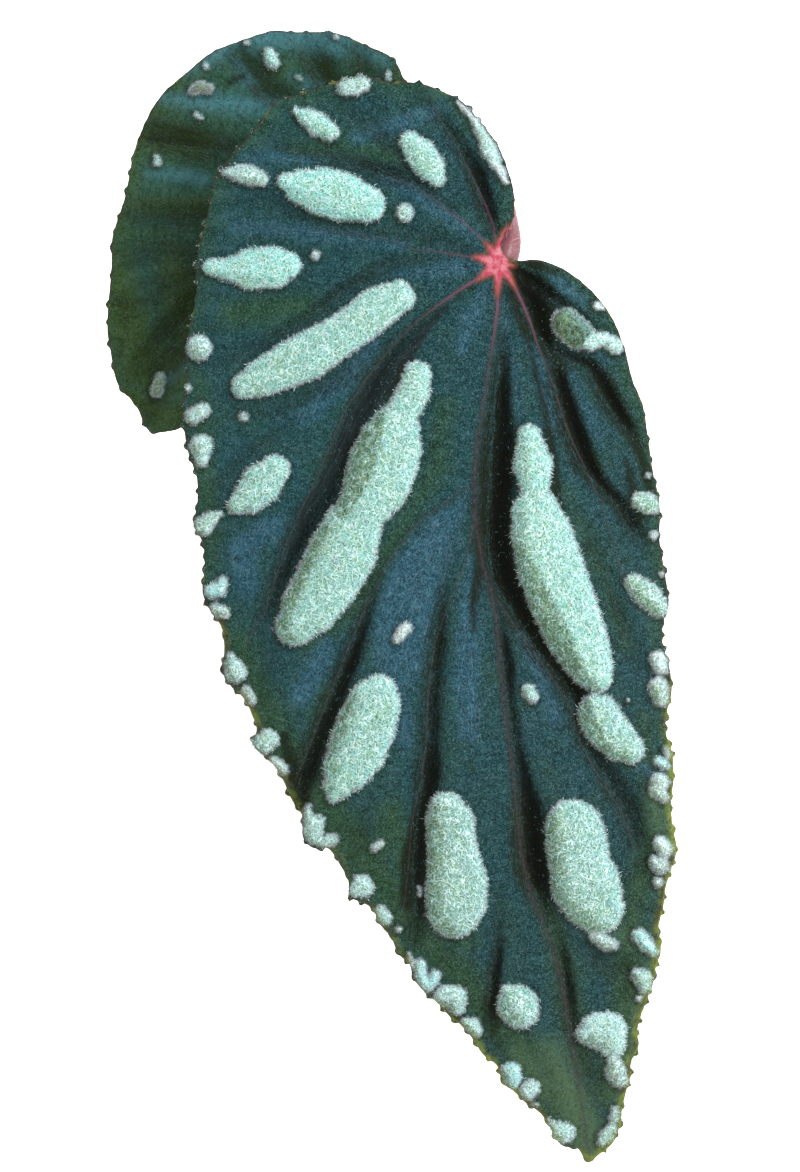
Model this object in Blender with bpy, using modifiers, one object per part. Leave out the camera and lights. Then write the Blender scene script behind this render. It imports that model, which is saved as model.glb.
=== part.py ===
"""Potted begonia: two spotted leaves on a short rhizome, standing in a plain clay pot.

Metres, +Z up. The origin is the middle of the pot's underside, and the leaves lean towards -Y.
The sizes below are in millimetres. Both leaves are drawn on one sheet that faces a viewer who stands
in front and looks down on the plant: x runs to the right, y up the sheet, and a rise lifts a point off
the sheet towards the viewer. The sheet's zero is the joint of the front leaf and its stalk.
"""
import math

import bmesh
import bpy
import numpy as np
from mathutils import Vector, noise
from mathutils.geometry import delaunay_2d_cdt

MM = 0.001
GAP = 0.3
FIT = 0.4
HAIRLINE = 0.01

POT_HEIGHT = 66
POT_RIM_RADIUS = 37.5
POT_BASE_RADIUS = 26
POT_WALL = 3.2
RIM_WALL = 4.4
POT_FLOOR = 4.5
FLOOR_CORNER = 1.5
POT_BEVEL = 0.9
RIM_BAND_HEIGHT = 14
RIM_BAND_TAPER = 0.7
RIM_BAND_STEP = 2.4
POT_STEPS = 48
DRAIN_HOLES = 3
DRAIN_RADIUS = 3.2
DRAIN_CIRCLE = 13

SOIL_LEVEL = 60
SOIL_MOUND = 1.5
SOIL_LUMP = 1.1
SOIL_LUMP_SIZE = 9
SOIL_STEPS = 40
SOIL_RINGS = 9
SOIL_CORNER = 2

RHIZOME_FOOT = Vector((-1, 17, 50))
RHIZOME_TOP = Vector((1, 20, 76))
RHIZOME_RADIUS = 4.7
CROWN_RADIUS = 6.3
CROWN_TURNS = np.radians((0, 25, 50, 75, 95))
RHIZOME_STEPS = 20
HOLE_REACH = 40
SOCKET_REACH = 14

SHEET_ZERO = Vector((13, 3.5, 128))
SHEET_TILT = math.radians(60)
SHEET_RIGHT = Vector((1, 0, 0))
SHEET_UP = Vector((0, math.sin(SHEET_TILT), math.cos(SHEET_TILT)))
SHEET_OUT = Vector((0, -math.cos(SHEET_TILT), math.sin(SHEET_TILT)))
VIEW_DISTANCE = 1200
VIEW_MIDDLE = np.array((-16.7, -54.0))

BLADE_THICKNESS = 0.75
BLADE_SPACING = 2.7
MARGIN_STEP = 1.8
TOOTH = 0.3
JOINT_CALM = 5

FRONT_STALK_RADIUS = 1.95
BACK_STALK_RADIUS = 1.7
STALK_BASE_SWELL = 1.15
STALK_STEP = 6

# Margin of the front leaf, clockwise from its notch, with each scallop that shows
FRONT_EDGE = (
    (0.2, 3), (0.6, 4.5), (1.6, 5.8), (2.3, 8.6), (2.2, 12), (1.2, 15.5), (-0.4, 19.5), (-3, 23), (-6.2, 26.6),
    (-10.5, 28.8), (-14, 29.9), (-19, 30), (-23, 31), (-28, 29.8), (-33, 28.1), (-37.5, 26.5), (-40.5, 22.5),
    (-44.2, 18.4), (-46.8, 15), (-48.2, 10.5), (-49.5, 5), (-50.6, 0), (-50.6, -5), (-51.6, -10.5),
    (-52.3, -14.5), (-52.3, -20), (-52.9, -25), (-52.2, -31), (-50.6, -36), (-50.5, -40.5), (-51.1, -43.8),
    (-49.6, -46.8), (-49.3, -51), (-49.6, -55), (-48.3, -58.2), (-46.4, -61), (-46, -65), (-46.4, -68),
    (-44.8, -70.8), (-42.8, -72.6), (-41.2, -75.8), (-40.6, -78), (-41.3, -80.3), (-39.4, -82.3),
    (-37.6, -84), (-36.2, -86.3), (-34.8, -89.5), (-33, -92.3), (-32.9, -95.8), (-31.2, -97.7),
    (-28.6, -97.8), (-26.5, -100.8), (-25.3, -103.2), (-25.2, -105.7), (-23.4, -106.6), (-21.4, -107.7),
    (-20, -110.5), (-18.2, -112.6), (-17, -115.3), (-15.2, -117), (-14.4, -119.6), (-12.5, -121.8),
    (-10.4, -123.6), (-8.5, -125.7), (-6.2, -127.5), (-4.4, -129.8), (-2.8, -132.2), (-0.5, -134),
    (0.3, -136.8), (2.2, -138.2), (4.2, -140.1), (6.6, -141.8), (8.3, -144.3), (10.2, -147.2),
    (12.8, -147.7), (14, -149.4), (15.1, -150), (16.6, -148.6), (18.8, -146.8), (20, -143.8),
    (20.4, -140.9), (21, -138.3), (21.7, -136), (21.9, -133.2), (23.1, -130.6), (22.9, -127.8),
    (24, -124.2), (25.5, -120.2), (26, -117.3), (26.8, -114.8), (26.4, -111), (27.2, -107.5),
    (27.6, -104.3), (28.6, -101), (29.4, -97.8), (28.7, -93.6), (28.5, -89.6), (28.9, -86.3), (28.7, -82),
    (27.5, -77.8), (28, -74), (28.6, -71.5), (28.2, -67.5), (27.1, -63.5), (27.2, -60), (28.1, -57),
    (27.5, -52), (26.6, -46.5), (26.6, -40.5), (25.5, -35), (24.6, -29), (23.8, -24), (22, -19.5),
    (20.6, -14), (18.3, -8.7), (14.8, -4.4), (10.5, -1.2), (6.5, 0.3), (3.4, 0.2), (1.7, 0.4), (0.5, 1.4),
)

# Large raised pads of the front leaf, each a chain of discs: x, y and radius
FRONT_PADS = (
    ((-33, 12.5, 3), (-29.5, 11.7, 4.1), (-26, 10.8, 4.1), (-22.3, 9.6, 3.1)),
    ((-15, 20, 1.8), (-13.3, 18, 2.7), (-11.7, 15.8, 2.5)),
    ((-45.5, -1.2, 1.9), (-41.5, -1.2, 3.5), (-38, -0.9, 3.6), (-35.5, -0.5, 2.4)),
    ((-17, -5.8, 2.8), (-24.5, -10.8, 3.5), (-32, -15.6, 4.1), (-40, -19.5, 3.1), (-42.8, -20.8, 2.1)),
    ((-37.6, -34.7, 2.6), (-39.8, -37, 3.5), (-41.8, -39.2, 2.8)),
    ((-13.8, -18.9, 2.3), (-16.2, -25, 2.6), (-18.3, -31, 4.8), (-20.2, -37, 5.4), (-23, -42, 4.4),
     (-26.2, -48.5, 5.6), (-31.8, -57.5, 4.8), (-34.2, -60.8, 3.3)),
    ((4.8, -29, 2), (5.3, -33.5, 3.4), (6, -38.5, 2.4), (7.3, -48, 5.4), (11.2, -58, 5.3), (15, -65, 3.9),
     (17.1, -69.4, 1.8)),
    ((11, -10.2, 2.6), (13, -12, 2.7), (15, -13.2, 1.7)),
    ((-20.3, -71.9, 3.2), (-22.4, -77.5, 5), (-25.4, -84.3, 4.1), (-27, -87.2, 2.5)),
    ((-9, -91.2, 3), (-8, -97, 4.1), (-7.2, -103.5, 5.2), (-7.7, -108.2, 4.5)),
    ((15.8, -74.3, 2.4), (17.6, -77.6, 3.7), (21.6, -81.2, 2.5)),
    ((11.3, -92.6, 3), (12.8, -97.5, 5.2), (14.2, -103.6, 5.8), (16.3, -107.6, 4.4)),
    ((2.9, -123.9, 3.5), (3.3, -124.6, 3.2)),
    ((16.2, -128.2, 3.1), (17.8, -128.3, 3.4), (18.6, -130.2, 2.4)),
)

# Deep folds beside the main veins of the front leaf: x, y and half width
FRONT_FOLDS = (
    ((-1.7, 9.5, 1.2), (-3.3, 14.5, 1.3), (-8.3, 22.8, 0.9), (-12, 27.4, 0.8)),
    ((-8, 9.3, 0.4), (-18.3, 15.3, 1.1), (-31.7, 19.1, 1.2), (-39, 20.8, 0.9)),
    ((-9, 1.6, 0.5), (-26.7, -4.2, 0.9), (-41, -13.8, 0.9)),
    ((-9, -7.5, 0.5), (-18.6, -16.8, 1), (-24.2, -28.8, 1.5), (-31.3, -43, 1.6), (-37.7, -57.2, 1.2)),
    ((0.2, -10, 0.8), (0, -29, 2), (-0.6, -46, 2), (3.6, -57.5, 1.6), (13.7, -71.3, 1.3), (18.6, -85, 1.5),
     (23.6, -96.3, 1.4)),
    ((0.8, -63, 0.8), (3.4, -79.7, 1.3), (6, -96.3, 2.1), (9.8, -110.5, 1), (12.3, -126.3, 1.3),
     (15.2, -134.3, 1.2)),
    ((-7.5, -47, 0.5), (-10.6, -71.3, 1.2), (-13.6, -98, 1.4), (-15, -113.2, 1)),
    ((-13, -43.5, 0.7), (-22.3, -60, 1), (-29.8, -79.7, 1.3), (-32.6, -89.3, 1.2)),
    ((4, -3, 1.3), (9.6, -14.5, 1.3), (14.6, -32.5, 1.4), (24, -45, 0.8)),
)
FOLD_DEPTH = 0.75
FOLD_SOFTNESS = 0.6
FOLD_SLOPE = 0.6
FOLD_REACH = 6
PAD_HEIGHT = 1.3
PAD_SHOULDER = 2

# Bend of the front leaf: highest part way down its main vein, drooping to the tip, the lobe and both margins
BEND_TOP_Y = -40
TIP_DROOP = 22
TIP_REACH = 110
LOBE_DROOP = 11
LOBE_REACH = 70
LEFT_DROOP = 12
LEFT_REACH = 48
RIGHT_DROOP = 6
RIGHT_REACH = 28
MAIN_VEIN = (
    (15, -150), (10, -119), (3.5, -98.5), (0.8, -76), (-1.5, -55), (-4.3, -38), (-2, -18), (-0.5, 0), (-12, 30),
)

# Margin of the back leaf, with the part that the front leaf hides, clockwise from its notch
BACK_JOINT = (-18, 10)
BACK_EDGE = (
    (-17.6, 13), (-14, 19), (-13.4, 25), (-16, 30.5), (-18, 34), (-22, 36), (-27.5, 38.2), (-33.5, 38.3),
    (-38, 38.5), (-43, 37), (-48, 35), (-52, 31.8), (-56.3, 28), (-58.8, 24), (-61, 18.5), (-62.5, 11),
    (-64.6, 4.3), (-64.8, -1), (-65.5, -10), (-65, -14.7), (-63.7, -20.5), (-60.8, -23.8), (-58.7, -28),
    (-55.8, -28.3), (-52.5, -27.2), (-46, -22), (-38, -15.5), (-30, -9), (-22, -3.5), (-14.5, 0.5),
    (-11.5, 4), (-12.5, 8), (-16, 9.6), (-18.4, 11.2),
)
BACK_JOINT_RISE = -14
BACK_LEAN = 0.22
BACK_PITCH = -0.1
BACK_DROOP = 3
BACK_REACH = 40
BACK_FOLD_FIRST = math.radians(103)
BACK_FOLD_TURN = math.radians(19)
BACK_FOLD_DEPTH = 0.7

# Stalk routes from the crown: world places for the free arc, then sheet places and rises near the joint
FRONT_STALK_ARC = (
    (4.2, 21.5, 72), (5.2, 22.8, 77), (6.6, 24.3, 86), (8.6, 25.5, 98), (10.4, 25, 108.5), (12, 22, 117.5),
)
FRONT_STALK_END = ((0.3, 9.2, -11), (1.1, 6.2, -6.8), (1.3, 3.4, -4.2), (0.8, 1, -3.3), (-0.1, -1.3, -3.15))
BACK_STALK_ARC = ((-3, 21, 72), (-4.4, 21.8, 78), (-5.8, 22.6, 88), (-6.2, 22.8, 100), (-5.8, 21.8, 110))
BACK_STALK_END = ((-18, 8.4, -19.5), (-18, 9.6, -16.2))

COLOURS = {
    "pot": (0.52, 0.22, 0.12, 0.85),
    "soil": (0.055, 0.035, 0.022, 0.95),
    "rhizome": (0.19, 0.10, 0.06, 0.7),
    "petiole_front": (0.50, 0.16, 0.20, 0.5),
    "petiole_back": (0.45, 0.15, 0.18, 0.5),
    "blade_front": (0.03, 0.085, 0.08, 0.6),
    "blade_back": (0.035, 0.07, 0.03, 0.65),
}


def clear_scene():
    for thing in list(bpy.data.objects):
        bpy.data.objects.remove(thing, do_unlink=True)


def new_collection(name):
    collection = bpy.data.collections.new(name)
    bpy.context.scene.collection.children.link(collection)
    return collection


def material(name):
    red, green, blue, roughness = COLOURS[name]
    paint = bpy.data.materials.new(name)
    paint.use_nodes = True
    shader = paint.node_tree.nodes["Principled BSDF"]
    shader.inputs["Base Color"].default_value = (red, green, blue, 1)
    shader.inputs["Roughness"].default_value = roughness
    shader.inputs["Metallic"].default_value = 0
    return paint


def add_object(name, mesh, collection):
    thing = bpy.data.objects.new(name, mesh)
    collection.objects.link(thing)
    mesh.materials.clear()
    mesh.materials.append(material(name))
    return thing


def settled(thing):
    """The object's mesh with its modifiers worked in."""
    bpy.context.view_layer.update()
    graph = bpy.context.evaluated_depsgraph_get()
    return bpy.data.meshes.new_from_object(thing.evaluated_get(graph))


def turned(name, profile, steps, collection):
    """A solid turned about Z from a profile of (radius, height), which ends on the axis."""
    mesh = bpy.data.meshes.new(name)
    places = [(radius * MM, 0, height * MM) for radius, height in profile]
    mesh.from_pydata(places, [(i, i + 1) for i in range(len(places) - 1)], [])
    thing = add_object(name, mesh, collection)
    screw = thing.modifiers.new("turn", "SCREW")
    screw.axis = "Z"
    screw.steps = steps
    screw.render_steps = steps
    screw.use_merge_vertices = True
    screw.merge_threshold = 0.00001
    screw.use_smooth_shade = True
    return thing


def cylinder_cutter(name, start, direction, radius, length, collection):
    """A round cutter from start along direction, in millimetres."""
    bpy.ops.mesh.primitive_cylinder_add(vertices=24, radius=radius * MM, depth=length * MM)
    cutter = bpy.context.object
    cutter.name = name
    for user in list(cutter.users_collection):
        user.objects.unlink(cutter)
    collection.objects.link(cutter)
    aim = Vector(direction).normalized()
    cutter.rotation_euler = aim.to_track_quat("Z", "Y").to_euler()
    cutter.location = (Vector(start) + aim * length / 2) * MM
    cutter.hide_render = True
    cutter.display_type = "WIRE"
    return cutter


def cut(thing, cutter):
    boolean = thing.modifiers.new(cutter.name, "BOOLEAN")
    boolean.operation = "DIFFERENCE"
    boolean.solver = "EXACT"
    boolean.object = cutter


def smooth_points(anchors, step, closed):
    """Points at an even step along a smooth curve through the anchors."""
    middle = np.array(anchors, float)
    if closed:
        before = np.roll(middle, 1, axis=0)
        after = np.roll(middle, -1, axis=0)
        beyond = np.roll(middle, -2, axis=0)
    else:
        padded = np.vstack((2 * middle[0] - middle[1], middle, 2 * middle[-1] - middle[-2]))
        before, middle, after, beyond = padded[:-3], padded[1:-2], padded[2:-1], padded[3:]
    share = np.linspace(0, 1, 16, endpoint=False)[:, None, None]
    curve = 0.5 * (2 * middle + (after - before) * share
                   + (2 * before - 5 * middle + 4 * after - beyond) * share ** 2
                   + (3 * middle - before - 3 * after + beyond) * share ** 3)
    dense = curve.transpose(1, 0, 2).reshape(-1, curve.shape[2])
    last = dense[:1] if closed else after[-1:]
    dense = np.vstack((dense, last))
    length = np.concatenate(([0], np.cumsum(np.linalg.norm(np.diff(dense, axis=0), axis=1))))
    count = 2 * round(length[-1] / step / 2)
    places = np.arange(count if closed else count + 1) * length[-1] / count
    return np.stack([np.interp(places, length, axis) for axis in dense.T], axis=1)


def on_sheet(x, y, rise):
    """World place of a sheet point, which stays in line with the viewer as it rises."""
    spread = 1 - rise / VIEW_DISTANCE
    across = VIEW_MIDDLE[0] + (x - VIEW_MIDDLE[0]) * spread
    up = VIEW_MIDDLE[1] + (y - VIEW_MIDDLE[1]) * spread
    return SHEET_ZERO + SHEET_RIGHT * across + SHEET_UP * up + SHEET_OUT * rise


def nearest(points, line):
    """Distance from each point to a line of (x, y, width), and the width where it comes nearest."""
    line = np.array(line, float)
    gap = np.full(len(points), np.inf)
    width = np.zeros(len(points))
    for start, end in zip(line[:-1], line[1:]):
        along = end[:2] - start[:2]
        share = np.clip((points - start[:2]) @ along / (along @ along), 0, 1)
        reach = np.linalg.norm(points - start[:2] - share[:, None] * along, axis=1)
        closer = reach < gap
        gap = np.where(closer, reach, gap)
        width = np.where(closer, start[2] + share * (end[2] - start[2]), width)
    return gap, width


def inside_chain(points, chain):
    """Depth of each point inside a chain of discs, below zero outside it."""
    chain = np.array(chain, float)
    depth = np.full(len(points), -np.inf)
    for start, end in zip(chain[:-1], chain[1:]):
        along = end[:2] - start[:2]
        share = np.clip((points - start[:2]) @ along / (along @ along), 0, 1)
        reach = np.linalg.norm(points - start[:2] - share[:, None] * along, axis=1)
        depth = np.maximum(depth, start[2] + share * (end[2] - start[2]) - reach)
    return depth


def calm(points, joint):
    """Zero at the stalk joint and one well away from it, so that the blade is flat over its stalk."""
    share = np.clip(np.linalg.norm(points - np.array(joint), axis=1) / JOINT_CALM - 0.4, 0, 1)
    return share * share * (3 - 2 * share)


def front_bend(points):
    """The front leaf's broad bend, which is zero at its joint."""
    x, y = points.T
    below = np.clip(BEND_TOP_Y - y, 0, None)
    above = np.clip(y - BEND_TOP_Y, 0, None)
    vein = np.array(MAIN_VEIN)
    side = x - np.interp(y, vein[:, 1], vein[:, 0])
    left = LEFT_DROOP * (np.clip(-side, 0, None) / LEFT_REACH) ** 2
    right = RIGHT_DROOP * (np.clip(side, 0, None) / RIGHT_REACH) ** 2
    lift = LOBE_DROOP * (BEND_TOP_Y / LOBE_REACH) ** 2
    tip = TIP_DROOP * (below / TIP_REACH) ** 2
    lobe = LOBE_DROOP * (above / LOBE_REACH) ** 2
    return lift - tip - lobe - left - right


def front_rise(points):
    """The front leaf's relief: its bend, the folds beside the veins and the raised pads."""
    fold = np.zeros(len(points))
    for line in FRONT_FOLDS:
        gap, width = nearest(points, line)
        crease = FOLD_DEPTH * width * np.exp(-(gap / (width + FOLD_SOFTNESS)) ** 2)
        slope = FOLD_SLOPE * width * np.exp(-gap / FOLD_REACH)
        fold = np.maximum(fold, crease + slope)
    pad = np.zeros(len(points))
    for chain in FRONT_PADS:
        depth = np.clip(inside_chain(points, chain), 0, None)
        pad = np.maximum(pad, PAD_HEIGHT * np.tanh(depth / PAD_SHOULDER))
    return front_bend(points) + (pad - fold) * calm(points, (0, 0))


def back_rise(points):
    """The back leaf's relief: a leaning sheet with folds that fan out from its joint."""
    away = points - np.array(BACK_JOINT)
    reach = np.linalg.norm(away, axis=1)
    turn = np.arctan2(away[:, 1], away[:, 0]) % (2 * math.pi)
    fold = np.cos((turn - BACK_FOLD_FIRST) * 2 * math.pi / BACK_FOLD_TURN)
    lean = BACK_JOINT_RISE + BACK_LEAN * away[:, 0] + BACK_PITCH * away[:, 1]
    droop = BACK_DROOP * (reach / BACK_REACH) ** 2
    return lean - droop - BACK_FOLD_DEPTH * fold * calm(points, BACK_JOINT)


def toothed_edge(anchors):
    """The margin at even steps, every other point drawn outwards into a tooth."""
    ring = smooth_points(anchors, MARGIN_STEP, True)
    tangent = np.roll(ring, -1, axis=0) - np.roll(ring, 1, axis=0)
    tangent /= np.linalg.norm(tangent, axis=1)[:, None]
    area = np.sum(ring[:, 0] * np.roll(ring[:, 1], -1) - np.roll(ring[:, 0], -1) * ring[:, 1])
    outward = np.stack((tangent[:, 1], -tangent[:, 0]), axis=1) * np.sign(area)
    swing = np.where(np.arange(len(ring)) % 2, TOOTH, -TOOTH)
    return ring + outward * swing[:, None]


def filling_points(ring):
    """Evenly spaced points inside a margin, clear of it."""
    low = ring.min(axis=0)
    high = ring.max(axis=0)
    rows = np.arange(low[1], high[1], BLADE_SPACING * math.sqrt(3) / 2)
    columns = np.arange(low[0], high[0], BLADE_SPACING)
    grid = [(x + BLADE_SPACING / 2 * (row % 2), y) for row, y in enumerate(rows) for x in columns]
    points = np.array(grid)
    after = np.roll(ring, -1, axis=0)
    crossings = np.zeros(len(points), int)
    for (x0, y0), (x1, y1) in zip(ring, after):
        if y0 == y1:
            continue
        spans = (points[:, 1] > y0) != (points[:, 1] > y1)
        crossings += spans & (points[:, 0] < x0 + (points[:, 1] - y0) * (x1 - x0) / (y1 - y0))
    points = points[crossings % 2 == 1]
    reach = np.min(np.linalg.norm(points[:, None, :] - ring[None, :, :], axis=2), axis=1)
    return points[reach > 0.65 * BLADE_SPACING]


def blade(name, edge, rise, collection):
    """A waved leaf blade of even thickness inside a toothed margin."""
    ring = toothed_edge(edge)
    flat = np.vstack((ring, filling_points(ring)))
    rim = [(i, (i + 1) % len(ring)) for i in range(len(ring))]
    found = delaunay_2d_cdt([Vector(place) for place in flat], rim, [], 1, 1e-4)
    drawn = np.array([tuple(place) for place in found[0]])
    lifted = [on_sheet(x, y, up) * MM for (x, y), up in zip(drawn, rise(drawn))]
    mesh = bpy.data.meshes.new(name)
    mesh.from_pydata(lifted, [], found[2])
    mesh.shade_smooth()
    thing = add_object(name, mesh, collection)
    solid = thing.modifiers.new("thickness", "SOLIDIFY")
    solid.thickness = BLADE_THICKNESS * MM
    solid.offset = -1
    return thing


def stalk(name, arc, end, radius, collection):
    """A leaf stalk: a tube along a smooth route that narrows from its swollen base."""
    anchors = list(arc) + [tuple(on_sheet(*place)) for place in end]
    route = smooth_points(anchors, STALK_STEP / 2, False)
    curve = bpy.data.curves.new(name, "CURVE")
    curve.dimensions = "3D"
    curve.bevel_depth = radius * MM
    curve.bevel_resolution = 3
    curve.use_fill_caps = True
    spline = curve.splines.new("POLY")
    spline.points.add(len(route) - 1)
    for index, (point, place) in enumerate(zip(spline.points, route)):
        share = min(index / (len(route) / 3), 1)
        point.co = (*(place * MM), 1)
        point.radius = STALK_BASE_SWELL + (1 - STALK_BASE_SWELL) * share
    drawn = bpy.data.objects.new(name + "_route", curve)
    collection.objects.link(drawn)
    mesh = settled(drawn)
    bpy.data.objects.remove(drawn)
    shape = bmesh.new()
    shape.from_mesh(mesh)
    bmesh.ops.remove_doubles(shape, verts=shape.verts, dist=0.00001)
    shape.to_mesh(mesh)
    shape.free()
    mesh.shade_smooth()
    return add_object(name, mesh, collection)


def inner_radius(height):
    """Radius of the pot's inside at a height."""
    share = (height - POT_FLOOR) / (POT_HEIGHT - POT_FLOOR)
    low = POT_BASE_RADIUS - POT_WALL
    high = POT_RIM_RADIUS - RIM_WALL
    return low + (high - low) * share


def pot(collection, cutters):
    """The clay pot: a rim band round the top, a thick floor and plain drain holes."""
    band = POT_HEIGHT - RIM_BAND_HEIGHT
    band_foot = POT_RIM_RADIUS - RIM_BAND_TAPER
    body_top = band_foot - RIM_BAND_STEP
    corner = POT_FLOOR + FLOOR_CORNER
    shoulder = POT_HEIGHT - POT_BEVEL
    profile = (
        (0, POT_FLOOR),
        (inner_radius(POT_FLOOR) - FLOOR_CORNER, POT_FLOOR),
        (inner_radius(corner), corner),
        (inner_radius(shoulder), shoulder),
        (inner_radius(POT_HEIGHT) + POT_BEVEL, POT_HEIGHT),
        (POT_RIM_RADIUS - POT_BEVEL, POT_HEIGHT),
        (POT_RIM_RADIUS, shoulder),
        (band_foot, band + POT_BEVEL),
        (band_foot - POT_BEVEL, band),
        (body_top, band),
        (POT_BASE_RADIUS, POT_BEVEL),
        (POT_BASE_RADIUS - POT_BEVEL, 0),
        (0, 0),
    )
    body = turned("pot", profile, POT_STEPS, collection)
    for index in range(DRAIN_HOLES):
        turn = 2 * math.pi * (index + 0.25) / DRAIN_HOLES
        start = (DRAIN_CIRCLE * math.cos(turn), DRAIN_CIRCLE * math.sin(turn), -POT_FLOOR)
        cutter = cylinder_cutter(f"drain_{index + 1}", start, (0, 0, 1), DRAIN_RADIUS, 3 * POT_FLOOR, cutters)
        cut(body, cutter)
    return body


def soil(collection, cutters):
    """The soil, with a lumpy top and a plain hole that the rhizome stands in."""
    edge = inner_radius(SOIL_LEVEL) - GAP
    foot = POT_FLOOR + GAP
    corner = foot + SOIL_CORNER
    top = [(edge * ring / SOIL_RINGS, SOIL_LEVEL) for ring in range(SOIL_RINGS + 1)]
    bottom = [(inner_radius(corner) - GAP, corner), (inner_radius(foot) - SOIL_CORNER, foot), (0, foot)]
    drawn = turned("soil", top + bottom, SOIL_STEPS, collection)
    mesh = settled(drawn)
    bpy.data.objects.remove(drawn)
    for vertex in mesh.vertices:
        reach = Vector(vertex.co[:2]).length / MM
        if vertex.co.z < (SOIL_LEVEL - HAIRLINE) * MM or reach > edge - HAIRLINE:
            continue
        lump = noise.noise(vertex.co / (SOIL_LUMP_SIZE * MM))
        mound = SOIL_MOUND * (1 - (reach / edge) ** 2)
        vertex.co.z += (mound + SOIL_LUMP * lump) * MM
    filling = add_object("soil", mesh, collection)
    aim = (RHIZOME_TOP - RHIZOME_FOOT).normalized()
    start = RHIZOME_FOOT - aim * GAP
    cut(filling, cylinder_cutter("rhizome_hole", start, aim, RHIZOME_RADIUS + FIT, HOLE_REACH, cutters))
    return filling


def rhizome(collection, cutters):
    """The short thick stem, swollen to a rounded crown with a socket for each stalk."""
    height = (RHIZOME_TOP - RHIZOME_FOOT).length
    centre = height - CROWN_RADIUS
    crown = [(CROWN_RADIUS * math.sin(turn), centre + CROWN_RADIUS * math.cos(turn)) for turn in CROWN_TURNS]
    neck = centre - 1.5 * CROWN_RADIUS
    shank = [(RHIZOME_RADIUS, neck), (RHIZOME_RADIUS, 0), (0, 0)]
    stem = turned("rhizome", crown + shank, RHIZOME_STEPS, collection)
    stem.location = RHIZOME_FOOT * MM
    stem.rotation_euler = (RHIZOME_TOP - RHIZOME_FOOT).to_track_quat("Z", "Y").to_euler()
    sockets = (
        ("front_socket", FRONT_STALK_ARC, FRONT_STALK_RADIUS),
        ("back_socket", BACK_STALK_ARC, BACK_STALK_RADIUS),
    )
    for name, arc, radius in sockets:
        start = Vector(arc[0])
        aim = (Vector(arc[1]) - start).normalized()
        bore = radius * STALK_BASE_SWELL + FIT
        cut(stem, cylinder_cutter(name, start - aim * GAP, aim, bore, SOCKET_REACH, cutters))
    return stem


def main():
    clear_scene()
    collection = new_collection("potted_begonia")
    cutters = new_collection("cutters")
    pot(collection, cutters)
    soil(collection, cutters)
    rhizome(collection, cutters)
    stalk("petiole_front", FRONT_STALK_ARC, FRONT_STALK_END, FRONT_STALK_RADIUS, collection)
    stalk("petiole_back", BACK_STALK_ARC, BACK_STALK_END, BACK_STALK_RADIUS, collection)
    blade("blade_front", FRONT_EDGE, front_rise, collection)
    blade("blade_back", BACK_EDGE, back_rise, collection)


main()
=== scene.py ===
"""Potted begonia: finished leaves, stalks, rhizome, soil and pot around the packed solids.

Both leaves are drawn on one sheet that faces a viewer who stands in front and looks down on the plant.
In the lists, x runs to the right and y up that sheet, in millimetres from the joint of the front leaf and
its stalk. A rise lifts a point off the sheet towards the viewer.
"""
import math

import bmesh
import bpy
import numpy as np
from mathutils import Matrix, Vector, noise
from mathutils.geometry import delaunay_2d_cdt


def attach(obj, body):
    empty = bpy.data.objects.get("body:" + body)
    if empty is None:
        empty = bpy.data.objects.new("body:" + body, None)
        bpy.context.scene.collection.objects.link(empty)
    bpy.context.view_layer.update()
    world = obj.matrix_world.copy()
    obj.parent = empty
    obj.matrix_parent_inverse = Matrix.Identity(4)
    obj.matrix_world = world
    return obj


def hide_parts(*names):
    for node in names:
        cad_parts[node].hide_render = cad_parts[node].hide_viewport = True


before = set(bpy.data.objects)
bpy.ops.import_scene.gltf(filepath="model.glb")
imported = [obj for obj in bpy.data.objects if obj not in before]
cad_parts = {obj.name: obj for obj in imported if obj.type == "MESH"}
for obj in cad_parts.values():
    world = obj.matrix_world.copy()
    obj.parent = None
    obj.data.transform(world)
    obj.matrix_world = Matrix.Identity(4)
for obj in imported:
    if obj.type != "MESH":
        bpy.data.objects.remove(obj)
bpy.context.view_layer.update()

bl_info = {
    "name": "Potted begonia",
    "version": (1, 0, 0),
    "blender": (4, 5, 0),
    "location": "3D View > Sidebar > Begonia",
    "description": "Makes a potted begonia with two spotted leaves around its solid model",
    "category": "Object",
}

MM = 0.001
BODY = "root"

SHEET_ZERO = np.array((13, 3.5, 128))
SHEET_TILT = math.radians(60)
SHEET_AXES = np.array(((1, 0, 0), (0, math.sin(SHEET_TILT), math.cos(SHEET_TILT))))
SHEET_OUT = np.array((0, -math.cos(SHEET_TILT), math.sin(SHEET_TILT)))
VIEW_DISTANCE = 1200
VIEW_MIDDLE = np.array((-16.7, -54.0))
VIEW_HEIGHT = 195.33
LIGHT_SIDE = np.array((0.8, 0.6))
LAMP_SIDE = (0.72, 0.5)
LAMP_OUT = 0.68
LAMP_DISTANCE = 1.3
FLOOR_SIDE = 6

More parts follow.
